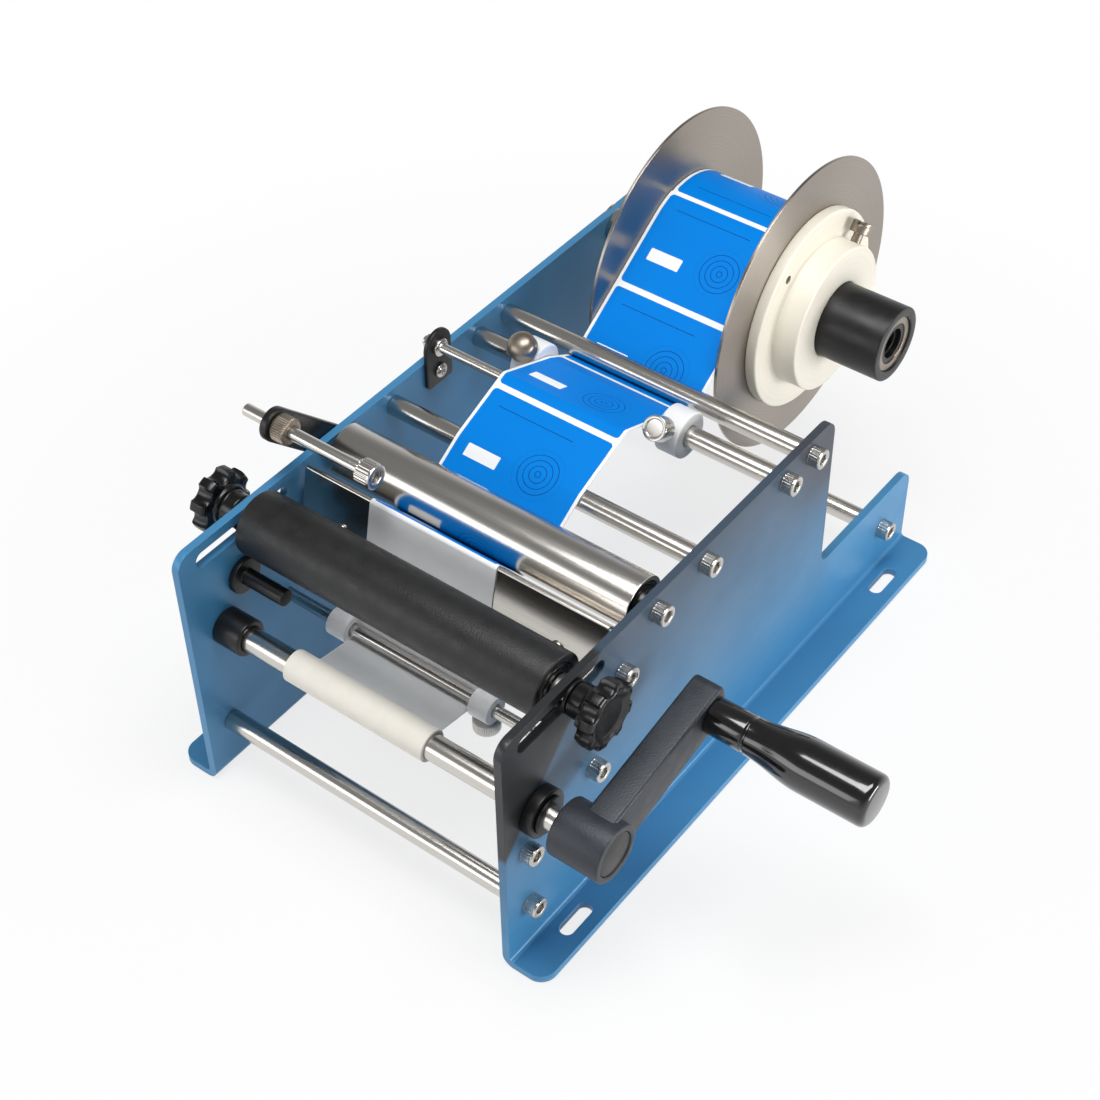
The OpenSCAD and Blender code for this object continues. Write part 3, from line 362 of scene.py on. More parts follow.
class Shade:
    """Nodes of one material or world, each made and joined in one call."""

    def __init__(self, name, blocks="materials", surface="Principled BSDF"):
        self.block = getattr(bpy.data, blocks).new(name)
        self.block.use_nodes = True
        self.tree = self.block.node_tree
        self.surface = self.tree.nodes[surface]

    def put(self, socket, value):
        """Joins a socket to an input, or sets it to a constant or to a colour setting by name."""
        if isinstance(value, bpy.types.NodeSocket):
            self.tree.links.new(value, socket)
            return
        if isinstance(value, str):
            value = tuple(getattr(bpy.context.scene.labeller_colours, value))
        if isinstance(value, tuple) and len(value) == 3 and len(socket.default_value) == 4:
            value = (*value, 1.0)
        socket.default_value = value

    def set(self, **values):
        """Values for the surface, by the names of its inputs with spaces as underscores."""
        for name, value in values.items():
            self.put(self.surface.inputs[name.replace("_", " ")], value)

    def add(self, kind, values=(), out=0, **settings):
        """New node with its own settings, and values for its inputs by name."""
        node = self.tree.nodes.new("ShaderNode" + kind)
        for name, value in settings.items():
            setattr(node, name, value)
        for name, value in dict(values).items():
            self.put(node.inputs[name], value)
        return node.outputs[out]

    def math(self, operation, a, b=0.0, c=0.0, clamp=False):
        """Value from two or three values by the named operation."""
        return self.add("Math", {0: a, 1: b, 2: c}, operation=operation, use_clamp=clamp)

    def times(self, a, b):
        """Product of two values."""
        return self.math("MULTIPLY", a, b)

    def minus(self, a, b):
        """Difference of two values."""
        return self.math("SUBTRACT", a, b)

    def vector(self, operation, a, b=(0.0, 0.0, 0.0), out=0):
        """Vector by the named operation, or its value as output 1."""
        return self.add("VectorMath", {0: a, 1: b}, out, operation=operation)

    def mix(self, factor, a, b):
        """Colour between a and b."""
        return self.add("Mix", {0: factor, 6: a, 7: b}, out=2, data_type="RGBA")

    def ramp(self, value, low, high, start=0.0, stop=1.0):
        """Smooth step of a value from start at low to stop at high."""
        return self.add("MapRange", {0: value, 1: low, 2: high, 3: start, 4: stop},
                        interpolation_type="SMOOTHSTEP")

    def vary(self, noise, start=0.0, stop=1.0):
        """Value from start to stop over the middle of a noise's range."""
        return self.ramp(noise, 0.3, 0.7, start, stop)

    def where(self):
        """Place on the object, in metres."""
        return self.add("TexCoord", out=3)

    def split(self, vector):
        """The x, y and z of a vector."""
        return self.add("SeparateXYZ", {0: vector}).node.outputs

    def noise(self, scale, detail=3.0, stretch=(1.0, 1.0, 1.0)):
        """Grey noise with cells of about 1 / scale metres, stretched by dividing each axis."""
        at = self.vector("MULTIPLY", self.where(), stretch)
        return self.add("TexNoise", {"Vector": at, "Scale": scale, "Detail": detail})

    def bump(self, height, strength, distance=0.0002):
        """Normal of a bumpy surface."""
        values = {"Strength": strength, "Distance": distance, "Height": height}
        self.set(Normal=self.add("Bump", values))


def linear(red, green, blue):
    """Linear colour of an 8-bit screen colour."""
    share = np.array([red, green, blue]) / 255
    curve = ((share + 0.055) / 1.055) ** 2.4
    return tuple(np.where(share <= 0.04045, share / 12.92, curve).tolist())


def finish(name):
    """Material by name, built when it is first asked for."""
    if name not in bpy.data.materials:
        FINISHES[name][1](Shade(name))
    return bpy.data.materials[name]


def even(key, roughness, grain, scale, metallic=0.0, mottle=0.04, gloss=0.5, coat=0.0):
    """Maker of an even finish in a colour setting, by its key.

    It has faint clouds of shade and gloss a few millimetres across, and a fine grain.
    """
    def make(shade):
        cloud = shade.noise(140.0, 4.0)
        colour = getattr(bpy.context.scene.labeller_colours, key)
        deep, pale = (tuple(min(c * (1 + way * mottle), 1.0) for c in colour) for way in (-1, 1))
        shade.set(Base_Color=shade.mix(shade.vary(cloud), deep, pale), Metallic=metallic,
                  Specular_IOR_Level=gloss, Coat_Weight=coat, Coat_Roughness=0.04,
                  Roughness=shade.vary(cloud, roughness * 0.88, roughness * 1.12))
        shade.bump(shade.noise(scale), grain)
    return make


def paint(shade):
    """Satin powder coat with fine orange peel, blue with painted reflections on the right plate.

    Past a line across the front corner the plate has a dark painted reflection. A grey painted
    reflection grows with its height, more so at the rear peak and hardly past the step behind it.
    """
    x, y, z = shade.split(shade.where())
    right = shade.math("LESS_THAN", y, 0.0)
    # Mask of the dark painted reflection across the right plate's front corner.
    slope, height = 1.08, 0.2512
    past = shade.minus(z, shade.math("MULTIPLY_ADD", x, slope, height))
    front = shade.times(shade.ramp(past, -0.003, 0.002), right)
    # Mask of the grey painted reflection: it rises with height and at the rear peak, and fades past
    # the step.
    rise = shade.math("MULTIPLY_ADD", z, 7.0, -0.1, clamp=True)
    tip = shade.times(shade.ramp(z, 0.085, 0.115), shade.ramp(x, 0.03, 0.08))
    painted_reflection_share = shade.times(shade.math("MULTIPLY_ADD", tip, 0.28, rise, clamp=True), right)
    painted_reflection_share = shade.times(painted_reflection_share, shade.ramp(x, 0.078, 0.1, 1.0, 0.1))
    cloud = shade.noise(28.0)
    colour = shade.mix(shade.ramp(cloud, 0.25, 0.75), "paint", "paint_deep")
    colour = shade.mix(front, shade.mix(painted_reflection_share, colour, "peak"), "graphite")
    shade.set(Base_Color=colour, Roughness=shade.vary(cloud, 0.36, 0.46), Metallic=0.15)
    shade.bump(shade.noise(1100.0, 2.0), 0.12)


def drawn_steel(shade):
    """Ground bar, with fine lines along the machine's width."""
    lines = shade.noise(4000.0, 2.0, (1.0, 0.01, 1.0))
    shade.set(Base_Color=shade.mix(lines, "steel", "steel_deep"), Metallic=1.0,
              Roughness=shade.vary(lines, 0.2, 0.27))
    shade.bump(lines, 0.02)


def rings_round(shade, node, scale, detail=3.0):
    """Vector out from a node's axis, and noise that changes with the distance from it alone."""
    off = shade.vector("SUBTRACT", shade.where(), tuple(spot(node)[2] * MM))
    out = shade.vector("MULTIPLY", off, (1.0, 0.0, 1.0))
    values = {"W": shade.vector("LENGTH", out, out=1), "Scale": scale, "Detail": detail}
    return out, shade.add("TexNoise", values, noise_dimensions="1D")


def turned_steel(shade):
    """Disc turned on a lathe: rings by radius, and reflections drawn out across them."""
    out, rings = rings_round(shade, "right_disc", 2500.0)
    shade.set(Base_Color=shade.mix(rings, "disc", "disc_deep"), Metallic=1.0, Anisotropic=0.8,
              Tangent=shade.vector("NORMALIZE", out), Roughness=shade.vary(rings, 0.3, 0.42))
    shade.bump(rings, 0.06)


def hub_plastic(shade):
    """Turned cream plastic: faint rings, and painted shade inside the pin hole in the large step.
    """
    sizes = bpy.context.scene.labeller_sizes
    out, rings = rings_round(shade, "right_flange_hub", 1200.0)
    radius, blur = sizes.pin_diameter / 2, 0.0001
    hole = tuple(sizes.pin_reach * outward(sizes.pin_angle))
    # Painted shade: the walls and floor of the pin hole take the darker pin colour.
    hole_shade = shade.ramp(shade.vector("DISTANCE", out, hole, 1), radius + blur, radius - blur)
    colour = shade.mix(shade.vary(rings), "hub", "hub_deep")
    shade.set(Base_Color=shade.mix(hole_shade, colour, "pin"), Roughness=shade.vary(rings, 0.34, 0.46))
    shade.bump(rings, 0.04)


def label_art(shade, across_at, along):
    """Colour of the labels on their backing, by metres across and along.

    Each is a blue field with round corners, and has rings of ripples, a rule and a white bar.
    """
    sizes = bpy.context.scene.labeller_sizes
    width, pitch = sizes.strip_width, sizes.label_length + sizes.label_gap
    local = shade.math("FLOORED_MODULO", along, pitch)

    def off(value, middle, half=0.0):
        """How far a value lies outside a band round a middle, squared."""
        away = shade.minus(shade.math("ABSOLUTE", shade.minus(value, middle)), half)
        away = shade.math("MAXIMUM", away, 0.0)
        return shade.times(away, away)

    def box(a, b, half_a, half_b, r):
        """One inside a rectangle with round corners about a and b, by its half sizes."""
        away = shade.math("ADD", off(across_at, a, half_a - r), off(local, b, half_b - r))
        return shade.math("LESS_THAN", away, r * r)

    field = box(width / 2, pitch / 2, width / 2 - sizes.label_margin, sizes.label_length / 2,
                sizes.label_corner)
    step, line, rim = 0.0028, 0.00016, 0.0125
    reach = shade.math("SQRT", shade.math("ADD", off(across_at, 0.024), off(local, 0.030)))
    wave = shade.minus(shade.math("FLOORED_MODULO", reach, step), step / 2)
    ripples = shade.times(shade.math("LESS_THAN", shade.math("ABSOLUTE", wave), line),
                          shade.math("LESS_THAN", reach, rim))
    ink = shade.math("MAXIMUM", ripples, box(0.040, 0.0090, 0.021, line, 0.0001))
    bar = box(0.053, 0.034, 0.009, 0.0032, 0.0005)
    colour = shade.mix(field, "backing", "label")
    colour = shade.mix(shade.times(ink, field), colour, "ink")
    colour = shade.mix(shade.times(bar, field), colour, "backing")
    shade.set(Base_Color=colour, Roughness=0.42, Specular_IOR_Level=0.08)


def label_film(shade):
    """Labels on the strip, by its own map: across from its right edge and along from the roll."""
    across_at, along, _ = shade.split(shade.add("UVMap", uv_map="strip"))
    label_art(shade, across_at, along)


def label_wrap(shade):
    """Labels round the roll, by the angle from where the strip leaves it."""
    low, high, middle = (value * MM for value in spot("label_roll"))
    off = shade.vector("SUBTRACT", shade.where(), (middle[0], low[1], middle[2]))
    x, y, z = shade.split(off)
    angle = shade.minus(shade.math("ARCTAN2", z, x), strip_start())
    label_art(shade, y, shade.times(angle, -(high[2] - low[2]) / 2))


def wound_edge(shade):
    """Edge of the wound layers on the side of the roll."""
    _, layers = rings_round(shade, "label_roll", 3000.0, 1.0)
    shade.set(Base_Color=shade.mix(shade.ramp(layers, 0.4, 0.6), "backing", "label"))
    shade.bump(layers, 0.2)


# Finishes by name: a slot name, and the maker of its material.
FINISHES = {
    "Blue paint": (None, paint),
    "Drawn steel": ("bright_steel", drawn_steel),
    "Turned steel": ("disc_steel", turned_steel),
    "Fastener steel": ("fasteners", even("fastener", 0.28, 0.03, 1500.0, 1.0, 0.08)),
    "Browned steel": ("fasteners", even("browned", 0.36, 0.05, 1500.0, 0.9, 0.15)),
    "Gloss black": ("black_plastic", even("black", 0.16, 0.015, 700.0, coat=0.8)),
    "Moulded black": ("black_plastic", even("black", 0.26, 0.03, 900.0, gloss=0.45)),
    "Satin black": ("black_metal", even("satin", 0.36, 0.05, 2500.0, mottle=0.06, gloss=0.4)),
    "Crank casting": ("crank_metal", even("casting", 0.46, 0.7, 1300.0, 0.25, 0.1)),
    "Foam rubber": ("foam_rubber", even("rubber", 0.46, 0.6, 1400.0, mottle=0.03)),
    "Cream rubber": ("cream_rubber", even("cream", 0.55, 0.03, 1800.0, mottle=0.02)),
    "Cream plastic": ("cream_plastic", even("hub", 0.4, 0.03, 1500.0, mottle=0.02)),
    "Hub plastic": ("cream_plastic", hub_plastic),
    "White plastic": ("white_plastic", even("white", 0.4, 0.02, 900.0, mottle=0.02)),
    "Core board": ("core_board", even("board", 0.8, 0.2, 900.0, mottle=0.15)),
    "Backing paper": (None, even("backing", 0.45, 0.05, 1200.0, mottle=0.015)),
    "Label film": ("label_film", label_film),
    "Label wrap": ("label_film", label_wrap),
    "Wound edge": (None, wound_edge),
}


def strip_contacts():
    """Circles that the strip runs on: rows of -x, z, radius and 1 where it runs under, -1 over."""
    sizes = bpy.context.scene.labeller_sizes
    lift = (sizes.strip_gap + sizes.strip_thickness / 2) / MM
    rows = []
    for node, side in (("label_roll", -1), ("upper_tie_rod", 1), ("label_guide_rod", -1),
                       ("tension_finger", -1), ("web_support_rod", -1), ("press_roller_tube", 1),
                       ("peel_plate", -1), ("liner_guide_rod", 1), ("drive_sleeve", 1)):
        low, high, middle = spot(node)
        radius = (high[2] - low[2]) / 2
        if node == "peel_plate":
            middle = np.array(sizes.nose) / MM
            radius = high[2] - middle[2]
        if node == "tension_finger":
            radius = sizes.finger_diameter / MM / 2
        rows.append((-middle[0], middle[2], radius + lift, side))
    return np.array(rows)


def strip_headings():
    """Angles of the strip's straight runs, each a common tangent of two circles."""
    c = strip_contacts()
    step = c[1:, :2] - c[:-1, :2]
    turn = (c[1:, 3] * c[1:, 2] - c[:-1, 3] * c[:-1, 2]) / np.linalg.norm(step, axis=1)
    return np.arctan2(step[:, 1], step[:, 0]) - np.arcsin(turn)


def strip_start():
    """Angle on the roll, from the rear upwards, where the strip's own map starts."""
    return math.pi / 2 - (strip_headings()[0] + bpy.context.scene.labeller_sizes.start_lap)


def strip_path():
    """Middle line of the strip in x and z, and its normals on the label side.

    On circle i it is centre - side radius left(a), as a runs from the heading of the run before to
    that of the run after, with left(a) = (-sin a, cos a). Straight runs join the arcs.
    """
    sizes = bpy.context.scene.labeller_sizes
    c = strip_contacts()
    runs = strip_headings()
    arrive = np.concatenate([[runs[0] + sizes.start_lap], runs])
    leave = np.concatenate([runs, [runs[-1] + sizes.end_lap]])
    left = left_of(np.linspace(arrive, leave, ARC_STEPS, axis=1))
    points = c[:, None, :2] - (c[:, 3] * c[:, 2])[:, None, None] * left
    return points.reshape(-1, 2) * [-1, 1], left.reshape(-1, 2) * [-1, 1]


def a_colour(label, what, *screen):
    """Colour setting from an 8-bit screen colour."""
    return bpy.props.FloatVectorProperty(
        name=label, description=what, default=linear(*screen), subtype="COLOR", min=0.0, max=1.0)


def a_length(label, what, value):
    """Length setting in metres."""
    return bpy.props.FloatProperty(
        name=label, description=what, default=value, min=0.0, unit="LENGTH", precision=5)


def an_angle(label, what, degrees):
    """Angle setting from degrees."""
    return bpy.props.FloatProperty(
        name=label, description=what, default=math.radians(degrees), subtype="ANGLE")


def a_place(label, what, *metres):
    """Place setting in metres."""
    return bpy.props.FloatVectorProperty(
        name=label, description=what, default=metres, subtype="XYZ", unit="LENGTH", precision=4)


def a_power(label, what, watts):
    """Light's power setting in watts."""
    return bpy.props.FloatProperty(
        name=label, description=what, default=watts, min=0.0, unit="POWER")


def a_share(label, what, value):
    """Setting from 0 to 1."""
    return bpy.props.FloatProperty(
        name=label, description=what, default=value, min=0.0, max=1.0, subtype="FACTOR")


class LabellerColours(bpy.types.PropertyGroup):
    """Colours of the labeller's finishes."""

    paint: a_colour("Paint", "Powder coat of the side plates", 70, 138, 185)
    paint_deep: a_colour("Deep paint", "Darker clouds in the powder coat", 66, 133, 180)
    # Painted reflection: grey laid on the right plate, rising with its height and towards its rear
    # peak.
    peak: a_colour("Peak", "Grey towards the right plate's rear peak", 62, 68, 78)
    # Painted reflection: dark zone across the right plate's front corner.
    graphite: a_colour("Graphite", "Front corner of the right plate", 42, 44, 47)
    steel: a_colour("Steel", "Ground bars", 214, 211, 206)
    steel_deep: a_colour("Deep steel", "Darker lines in the ground bars", 196, 192, 186)
    disc: a_colour("Disc", "Turned side discs", 170, 163, 156)
    disc_deep: a_colour("Deep disc", "Darker rings in the side discs", 152, 143, 133)
    fastener: a_colour("Fastener", "Screws and nuts", 196, 193, 188)
    browned: a_colour("Browned", "Stop nut, left guide knob, lock screw, bearings", 146, 136, 124)
    black: a_colour("Black", "Grip, star knobs, roller caps and core", 11, 11, 12)
    satin: a_colour("Satin black", "Mandrel tube, bushes, brackets and the stop arm", 20, 20, 21)
    casting: a_colour("Casting", "Crank arm", 50, 54, 61)
    rubber: a_colour("Rubber", "Foam cover of the bottle roller", 14, 15, 16)
    cream: a_colour("Cream", "Rubber sleeve of the drive shaft", 232, 228, 218)
    hub: a_colour("Hub", "Flange hubs", 236, 231, 217)
    hub_deep: a_colour("Deep hub", "Darker rings in the right flange hub", 232, 226, 211)
    # Painted shade: a dark colour on the walls and floor of the pin hole.
    pin: a_colour("Pin hole", "Inside of the right flange hub's pin hole", 128, 120, 108)
    white: a_colour("White", "Guide collars", 238, 239, 240)
    board: a_colour("Board", "Core of the roll", 186, 160, 126)
    backing: a_colour("Backing", "Backing paper of the labels", 243, 245, 247)
    label: a_colour("Label", "Ground of the labels", 0, 127, 220)
    ink: a_colour("Ink", "Lines on the labels", 8, 48, 122)


class LabellerSizes(bpy.types.PropertyGroup):
    """Sizes of the strip, the labels, the pin hole and the plates' edges."""

    strip_width: a_length("Strip width", "Width of the backing strip", 0.070)
    strip_thickness: a_length("Strip thickness", "Thickness of the strip with its labels", 0.0003)
    strip_gap: a_length("Strip gap", "Gap between the strip and what it runs on", 0.0003)
    label_length: a_length("Label length", "Length of a label along the strip", 0.050)
    label_gap: a_length("Label gap", "Backing between two labels", 0.003)
    label_corner: a_length("Label corner", "Radius of a label's corners", 0.002)
    label_margin: a_length("Label margin", "Backing beside a label", 0.0016)
    finger_diameter: a_length("Finger diameter", "Bar of the tension finger", 0.005)
    plate_edge: a_length("Plate edge", "Radius on the side plates' edges", 0.0006)
    pin_diameter: a_length("Pin hole", "Diameter of the pin hole in the right flange hub", 0.0042)
    pin_reach: a_length("Pin hole reach", "Distance of the hole from the mandrel's axis", 0.0425)
    pin_angle: an_angle("Pin hole angle", "Angle of the pin hole, from the rear upwards", 128)
    nose: a_place("Nose", "Middle of the peel plate's nose", -0.085, 0.0, 0.1405)
    start_lap: an_angle("Start lap", "Turn of the strip on the roll before it leaves it", 20)
    end_lap: an_angle("End lap", "Turn of the strip on the drive sleeve at its end", 15)


class LabellerStudio(bpy.types.PropertyGroup):
    """Light and camera of the studio."""

    key: a_power("Key", "Power of the large light above", 16.5)
    side: a_power("Side", "Power of the low light at the crank's side", 13.0)
    front: a_power("Front", "Power of the light before the front", 6.0)
    horizon: a_share("Horizon", "Strength of the surround at eye level, as metal mirrors it", 0.8)
    zenith: a_share("Zenith", "Strength of the surround overhead, as metal mirrors it", 0.22)
    fill: a_share("Fill", "Share of the surround that lights matt faces", 0.6)
    floor: bpy.props.FloatVectorProperty(
        name="Floor", description="Colour of the floor", default=(0.9, 0.9, 0.9), subtype="COLOR",
        min=0.0, max=1.0)
    floor_white: a_share("Floor white", "Share of plain white in the floor, as it is seen", 0.78)
    azimuth: an_angle("Azimuth", "Turn of the camera from the front towards the right", 37.94)
    elevation: an_angle("Elevation", "Tilt of the camera's line of sight below level", 44.32)
    roll: an_angle("Roll", "Turn of the picture", -1.01)
    location: a_place("Camera", "Place of the camera", -0.5714, -0.4318, 0.7702)
    lens: bpy.props.FloatProperty(
        name="Lens", description="Focal length on a 36 mm sensor", default=69.468, min=1.0,
        unit="CAMERA")


class LABELLER_OT_plates(bpy.types.Operator):
    """Paint the side plates and soften their edges"""

    bl_idname = "labeller.plates"
    bl_label = "Side Plates"

    def execute(self, context):
        for node in ("left_side_plate", "right_side_plate"):
            obj = frame["nodes"][node]
            obj.data.materials.clear()
            obj.data.materials.append(finish("Blue paint"))
            weld = obj.modifiers.new("Weld", "WELD")
            weld.merge_threshold = 1e-6
            flat = obj.modifiers.new("Flat", "DECIMATE")
            flat.decimate_type = "DISSOLVE"
            flat.angle_limit = math.radians(1)
            edge = obj.modifiers.new("Edge", "BEVEL")
            edge.width = context.scene.labeller_sizes.plate_edge
            edge.segments = 3
            edge.limit_method = "ANGLE"
            edge.angle_limit = math.radians(40)
            edge.harden_normals = True
        return {"FINISHED"}


class LABELLER_OT_rods(bpy.types.Operator):
    """Draw the cross rods between the plates"""

    bl_idname = "labeller.rods"
    bl_label = "Cross Rods"

    def execute(self, context):
        for node in (*SCREWED_RODS, "press_roller_axle"):
            low, high, middle = spot(node)
            piece(node, "Drawn steel", rod(high[2] - low[2], low[1], high[1], middle))
        return {"FINISHED"}


class LABELLER_OT_screws(bpy.types.Operator):
    """Turn the screws and nuts of the side plates"""

    bl_idname = "labeller.screws"
    bl_label = "Screws and Nuts"

    def execute(self, context):
        right = span("right_side_plate")[0] + FOOT_REACH
        left = span("left_side_plate")[1] - FOOT_REACH
        inner = span("front_tie_rod")[0]
        clamp = across("drive_shaft", right) - [7.0, 0.0, 21.0]
        held = (*SCREWED_RODS, "press_roller_axle", "liner_guide_rod")
        seats = [*(across(node, right) for node in held), clamp]
        piece("right_plate_screws", "Fastener steel", *(socket_head(seat, RIGHT) for seat in seats))
        seats = [across(node, left) for node in SCREWED_RODS]
        piece("left_plate_screws", "Fastener steel", *(sunk_head(seat, LEFT) for seat in seats))
        seats = [across("liner_guide_rod", left), across("guide_stud", left), across(clamp, inner)]
        nuts = [hex_nut(seat, 10.0, 5.0, 6.1) for seat in seats]
        piece("plain_nuts", "Fastener steel", *nuts, rod(6.0, inner, inner + 7.0, clamp))
        return {"FINISHED"}


class LABELLER_OT_drive(bpy.types.Operator):
    """Turn the drive shaft with its bushes, clips and rubber sleeve"""

    bl_idname = "labeller.drive"
    bl_label = "Drive Shaft"

    def execute(self, context):
        at = spot("drive_shaft")[2]
        piece("drive_shaft", "Drawn steel", rod(12.0, *span("drive_shaft"), at))
        y0, y1 = span("shaft_bush_left")
        piece("shaft_bush_left", "Satin black", ring(18.0, SHAFT_BORE, y0, y1 - 4.0, at, 0.8),
              ring(16.0, SHAFT_BORE, y1 - 4.5, y1, at), name="Left_shaft_bush")
        y0, y1 = span("shaft_bush_right")
        piece("shaft_bush_right", "Satin black", ring(23.0, SHAFT_BORE, y0, y0 + 6.0, at, 0.8),
              ring(16.0, SHAFT_BORE, y0 + 5.5, y1, at), name="Right_shaft_bush")
        y0, y1 = span("shaft_clips")
        piece("shaft_clips", "Satin black", ring(18.0, 10.8, y0, y0 + 1.2, at, 0.2),
              ring(18.0, 10.8, y1 - 1.2, y1, at, 0.2))
        piece("drive_sleeve", "Cream rubber",
              tube("drive_sleeve", 15.5, 12.04, 0.5, at="drive_shaft"))
        return {"FINISHED"}


class LABELLER_OT_crank(bpy.types.Operator):
    """Cast the crank arm, and turn its cap, spindle and grip"""

    bl_idname = "labeller.crank"
    bl_label = "Crank and Grip"

    def execute(self, context):
        shaft, pin = spot("drive_shaft")[2], spot("grip_spindle")[2]
        y0, y1 = span("crank_arm")
        lean = math.atan2(pin[2] - shaft[2], pin[0] - shaft[0])
        end = math.hypot(pin[2] - shaft[2], pin[0] - shaft[0]) + 10
        turn = np.array([[math.cos(lean), math.sin(lean)], [-math.sin(lean), math.cos(lean)]])
        bar = soften([(0, -12), (end, -10), (end, 10), (0, 12)], 5.0, 8, closed=True)
        arm = slab(bar @ turn + shaft[[0, 2]], y0 + 3.5, y0 + 17.5, 1.6)
        floor, rim, cup, bore = y0 + 2.5, 13.5, 10.5, 6.0
        hub = [(y0, cup), (y0, rim), (y1, rim), (y1, bore), (floor, bore), (floor, cup)]
        piece("crank_arm", "Crank casting", arm, turned(shaft, hub, 0.9, closed=True))
        cap = [(floor, 0), (floor, 10.4), (y0 + 0.6, 10.4), (y0 + 0.5, 0)]
        piece("crank_cap", "Satin black", turned(shaft, cap, 0.4), slot="black_plastic")
        piece("grip_spindle", "Drawn steel", rod(8.0, *span("grip_spindle"), pin))
        foot = [(10, 4.05), (0, 4.05), (0, 8.5), (17.5, 8.5), (17.9, 7.75), (19.1, 7.75),
                (19.5, 8.75)]
        t = np.linspace(0.02, 1.0, 20)
        flare = np.stack([19.5 + 27 * t, 8.75 + 3.25 * (1 - np.cos(math.pi * t)) / 2], axis=1)
        tip = soften([(70, 12.0), (78.6, 12.0), (79.0, 0)], 3.4, 8)
        profile = np.vstack([soften(foot, 0.35), flare, tip])
        seat = across(pin, span("crank_grip")[1])
        piece("crank_grip", "Gloss black", lathe(profile, seat, RIGHT))
        return {"FINISHED"}


class LABELLER_OT_bottle_roller(bpy.types.Operator):
    """Turn the foam-covered bottle roller with its axle and washers"""

    bl_idname = "labeller.bottle_roller"
    bl_label = "Bottle Roller"

    def execute(self, context):
        axle = "bottle_roller_axle"
        piece(axle, "Drawn steel", rod(8.0, *span(axle), axle))
        inner = span("front_tie_rod")[1] - 0.3
        piece("axle_spacers", "Fastener steel", ring(14.0, AXLE_BORE, inner - 3.0, inner, axle),
              ring(14.0, AXLE_BORE, -inner, 3.0 - inner, axle), slot="bright_steel")
        y0, y1 = span("axle_spacers")
        piece("axle_spacers", "Satin black", ring(16.0, AXLE_BORE, y1 - 1.5, y1, axle, 0.3),
              ring(16.0, AXLE_BORE, y0, y0 + 1.5, axle, 0.3), name="Axle_washers")
        piece("bottle_roller_core", "Moulded black",
              tube("bottle_roller_core", 22.0, 8.1, 0.8, at=axle))
        piece("bottle_roller_sleeve", "Foam rubber",
              tube("bottle_roller_core", 31.0, 22.04, 1.0, at=axle))
        return {"FINISHED"}


class LABELLER_OT_star_knobs(bpy.types.Operator):
    """Mould the two star knobs of the bottle roller"""

    bl_idname = "labeller.star_knobs"
    bl_label = "Star Knobs"

    def execute(self, context):
        profile = [(1.0, 4.1, 0), (0, 4.1, 0), (0, 8.0, 0), (6.6, 8.0, 0), (7.0, 9.6, 0),
                   (8.6, 10.0, 0), (9.4, 15.6, 1), (12.0, 16.4, 1), (17.0, 16.4, 1),
                   (18.0, 14.2, 0.8), (17.8, 12.0, 0.2), (16.6, 9.0, 0), (16.3, 0, 0)]
        profile = soften(profile, 1.1, 5)
        for node, way, end in (("star_knob_left", LEFT, 0), ("star_knob_right", RIGHT, 1)):
            knob = lathe(profile, across(node, span(node)[end]), way, 240, (lobes,))
            piece(node, "Moulded black", knob)
        return {"FINISHED"}


class LABELLER_OT_press_roller(bpy.types.Operator):
    """Turn the press roller's tube and its grooved end caps"""

    bl_idname = "labeller.press_roller"
    bl_label = "Press Roller"

    def execute(self, context):
        roller = "press_roller_tube"
        piece(roller, "Drawn steel", tube(roller, 26.0, 22.0))
        y0, y1 = span(roller)
        profile = [(-4, 5.05), (-4, 10.98), (-0.2, 10.98), (-0.2, 9.4), (-1.0, 9.0), (-1.0, 8.4),
                   (0, 8.0), (0, 7.5), (2.7, 7.2), (2.7, 5.05)]
        profile = soften(profile, 0.3, closed=True)
        caps = [lathe(profile, across(roller, y), way, closed=True)
                for y, way in ((y1, LEFT), (y0, RIGHT))]
        piece("press_roller_caps", "Moulded black", *caps)
        return {"FINISHED"}


class LABELLER_OT_peel_plate(bpy.types.Operator):
    """Fold the peel plate and turn its screws"""

    bl_idname = "labeller.peel_plate"
    bl_label = "Peel Plate"

    def execute(self, context):
        low, high, _ = spot("peel_plate")
        x, _, z = np.array(context.scene.labeller_sizes.nose) / MM
        nose, t = np.array([-x, z]), high[2] - z
        headings = strip_headings()[NOSE_CONTACT - 1:NOSE_CONTACT + 1]
        out = nose + t * left_of(np.linspace(*headings, 13))
        ahead = np.stack([np.cos(headings), np.sin(headings)], axis=1)
        under = -t * left_of(headings)
        tail, tip = out[0] - 17 * ahead[0], out[-1] + 48 * ahead[1]
        inside = nose - 0.15 * left_of(headings.mean())
        outline = np.vstack([tail, out, tip, tip + under[1], inside, tail + under[0]])
        plate = slab(outline * [-1, 1], low[1], high[1], 0.15)
        piece("peel_plate", "Drawn steel", plate, sharp=30.0)
        face = nose + 22 * ahead[1] - under[1]
        normal = np.array([math.sin(headings[1]), 0.0, math.cos(headings[1])])
        head = soften([(-6, 0), (-6, 2.0), (0, 2.0), (0, 3.5), (1.0, 3.5), (1.0, 0)], 0.3)
        y0, y1 = span("peel_screws")
        screws = [lathe(head, (-face[0], y, face[1]), normal) for y in (y0 + 3.5, y1 - 3.5)]
        piece("peel_screws", "Fastener steel", *screws)
        return {"FINISHED"}


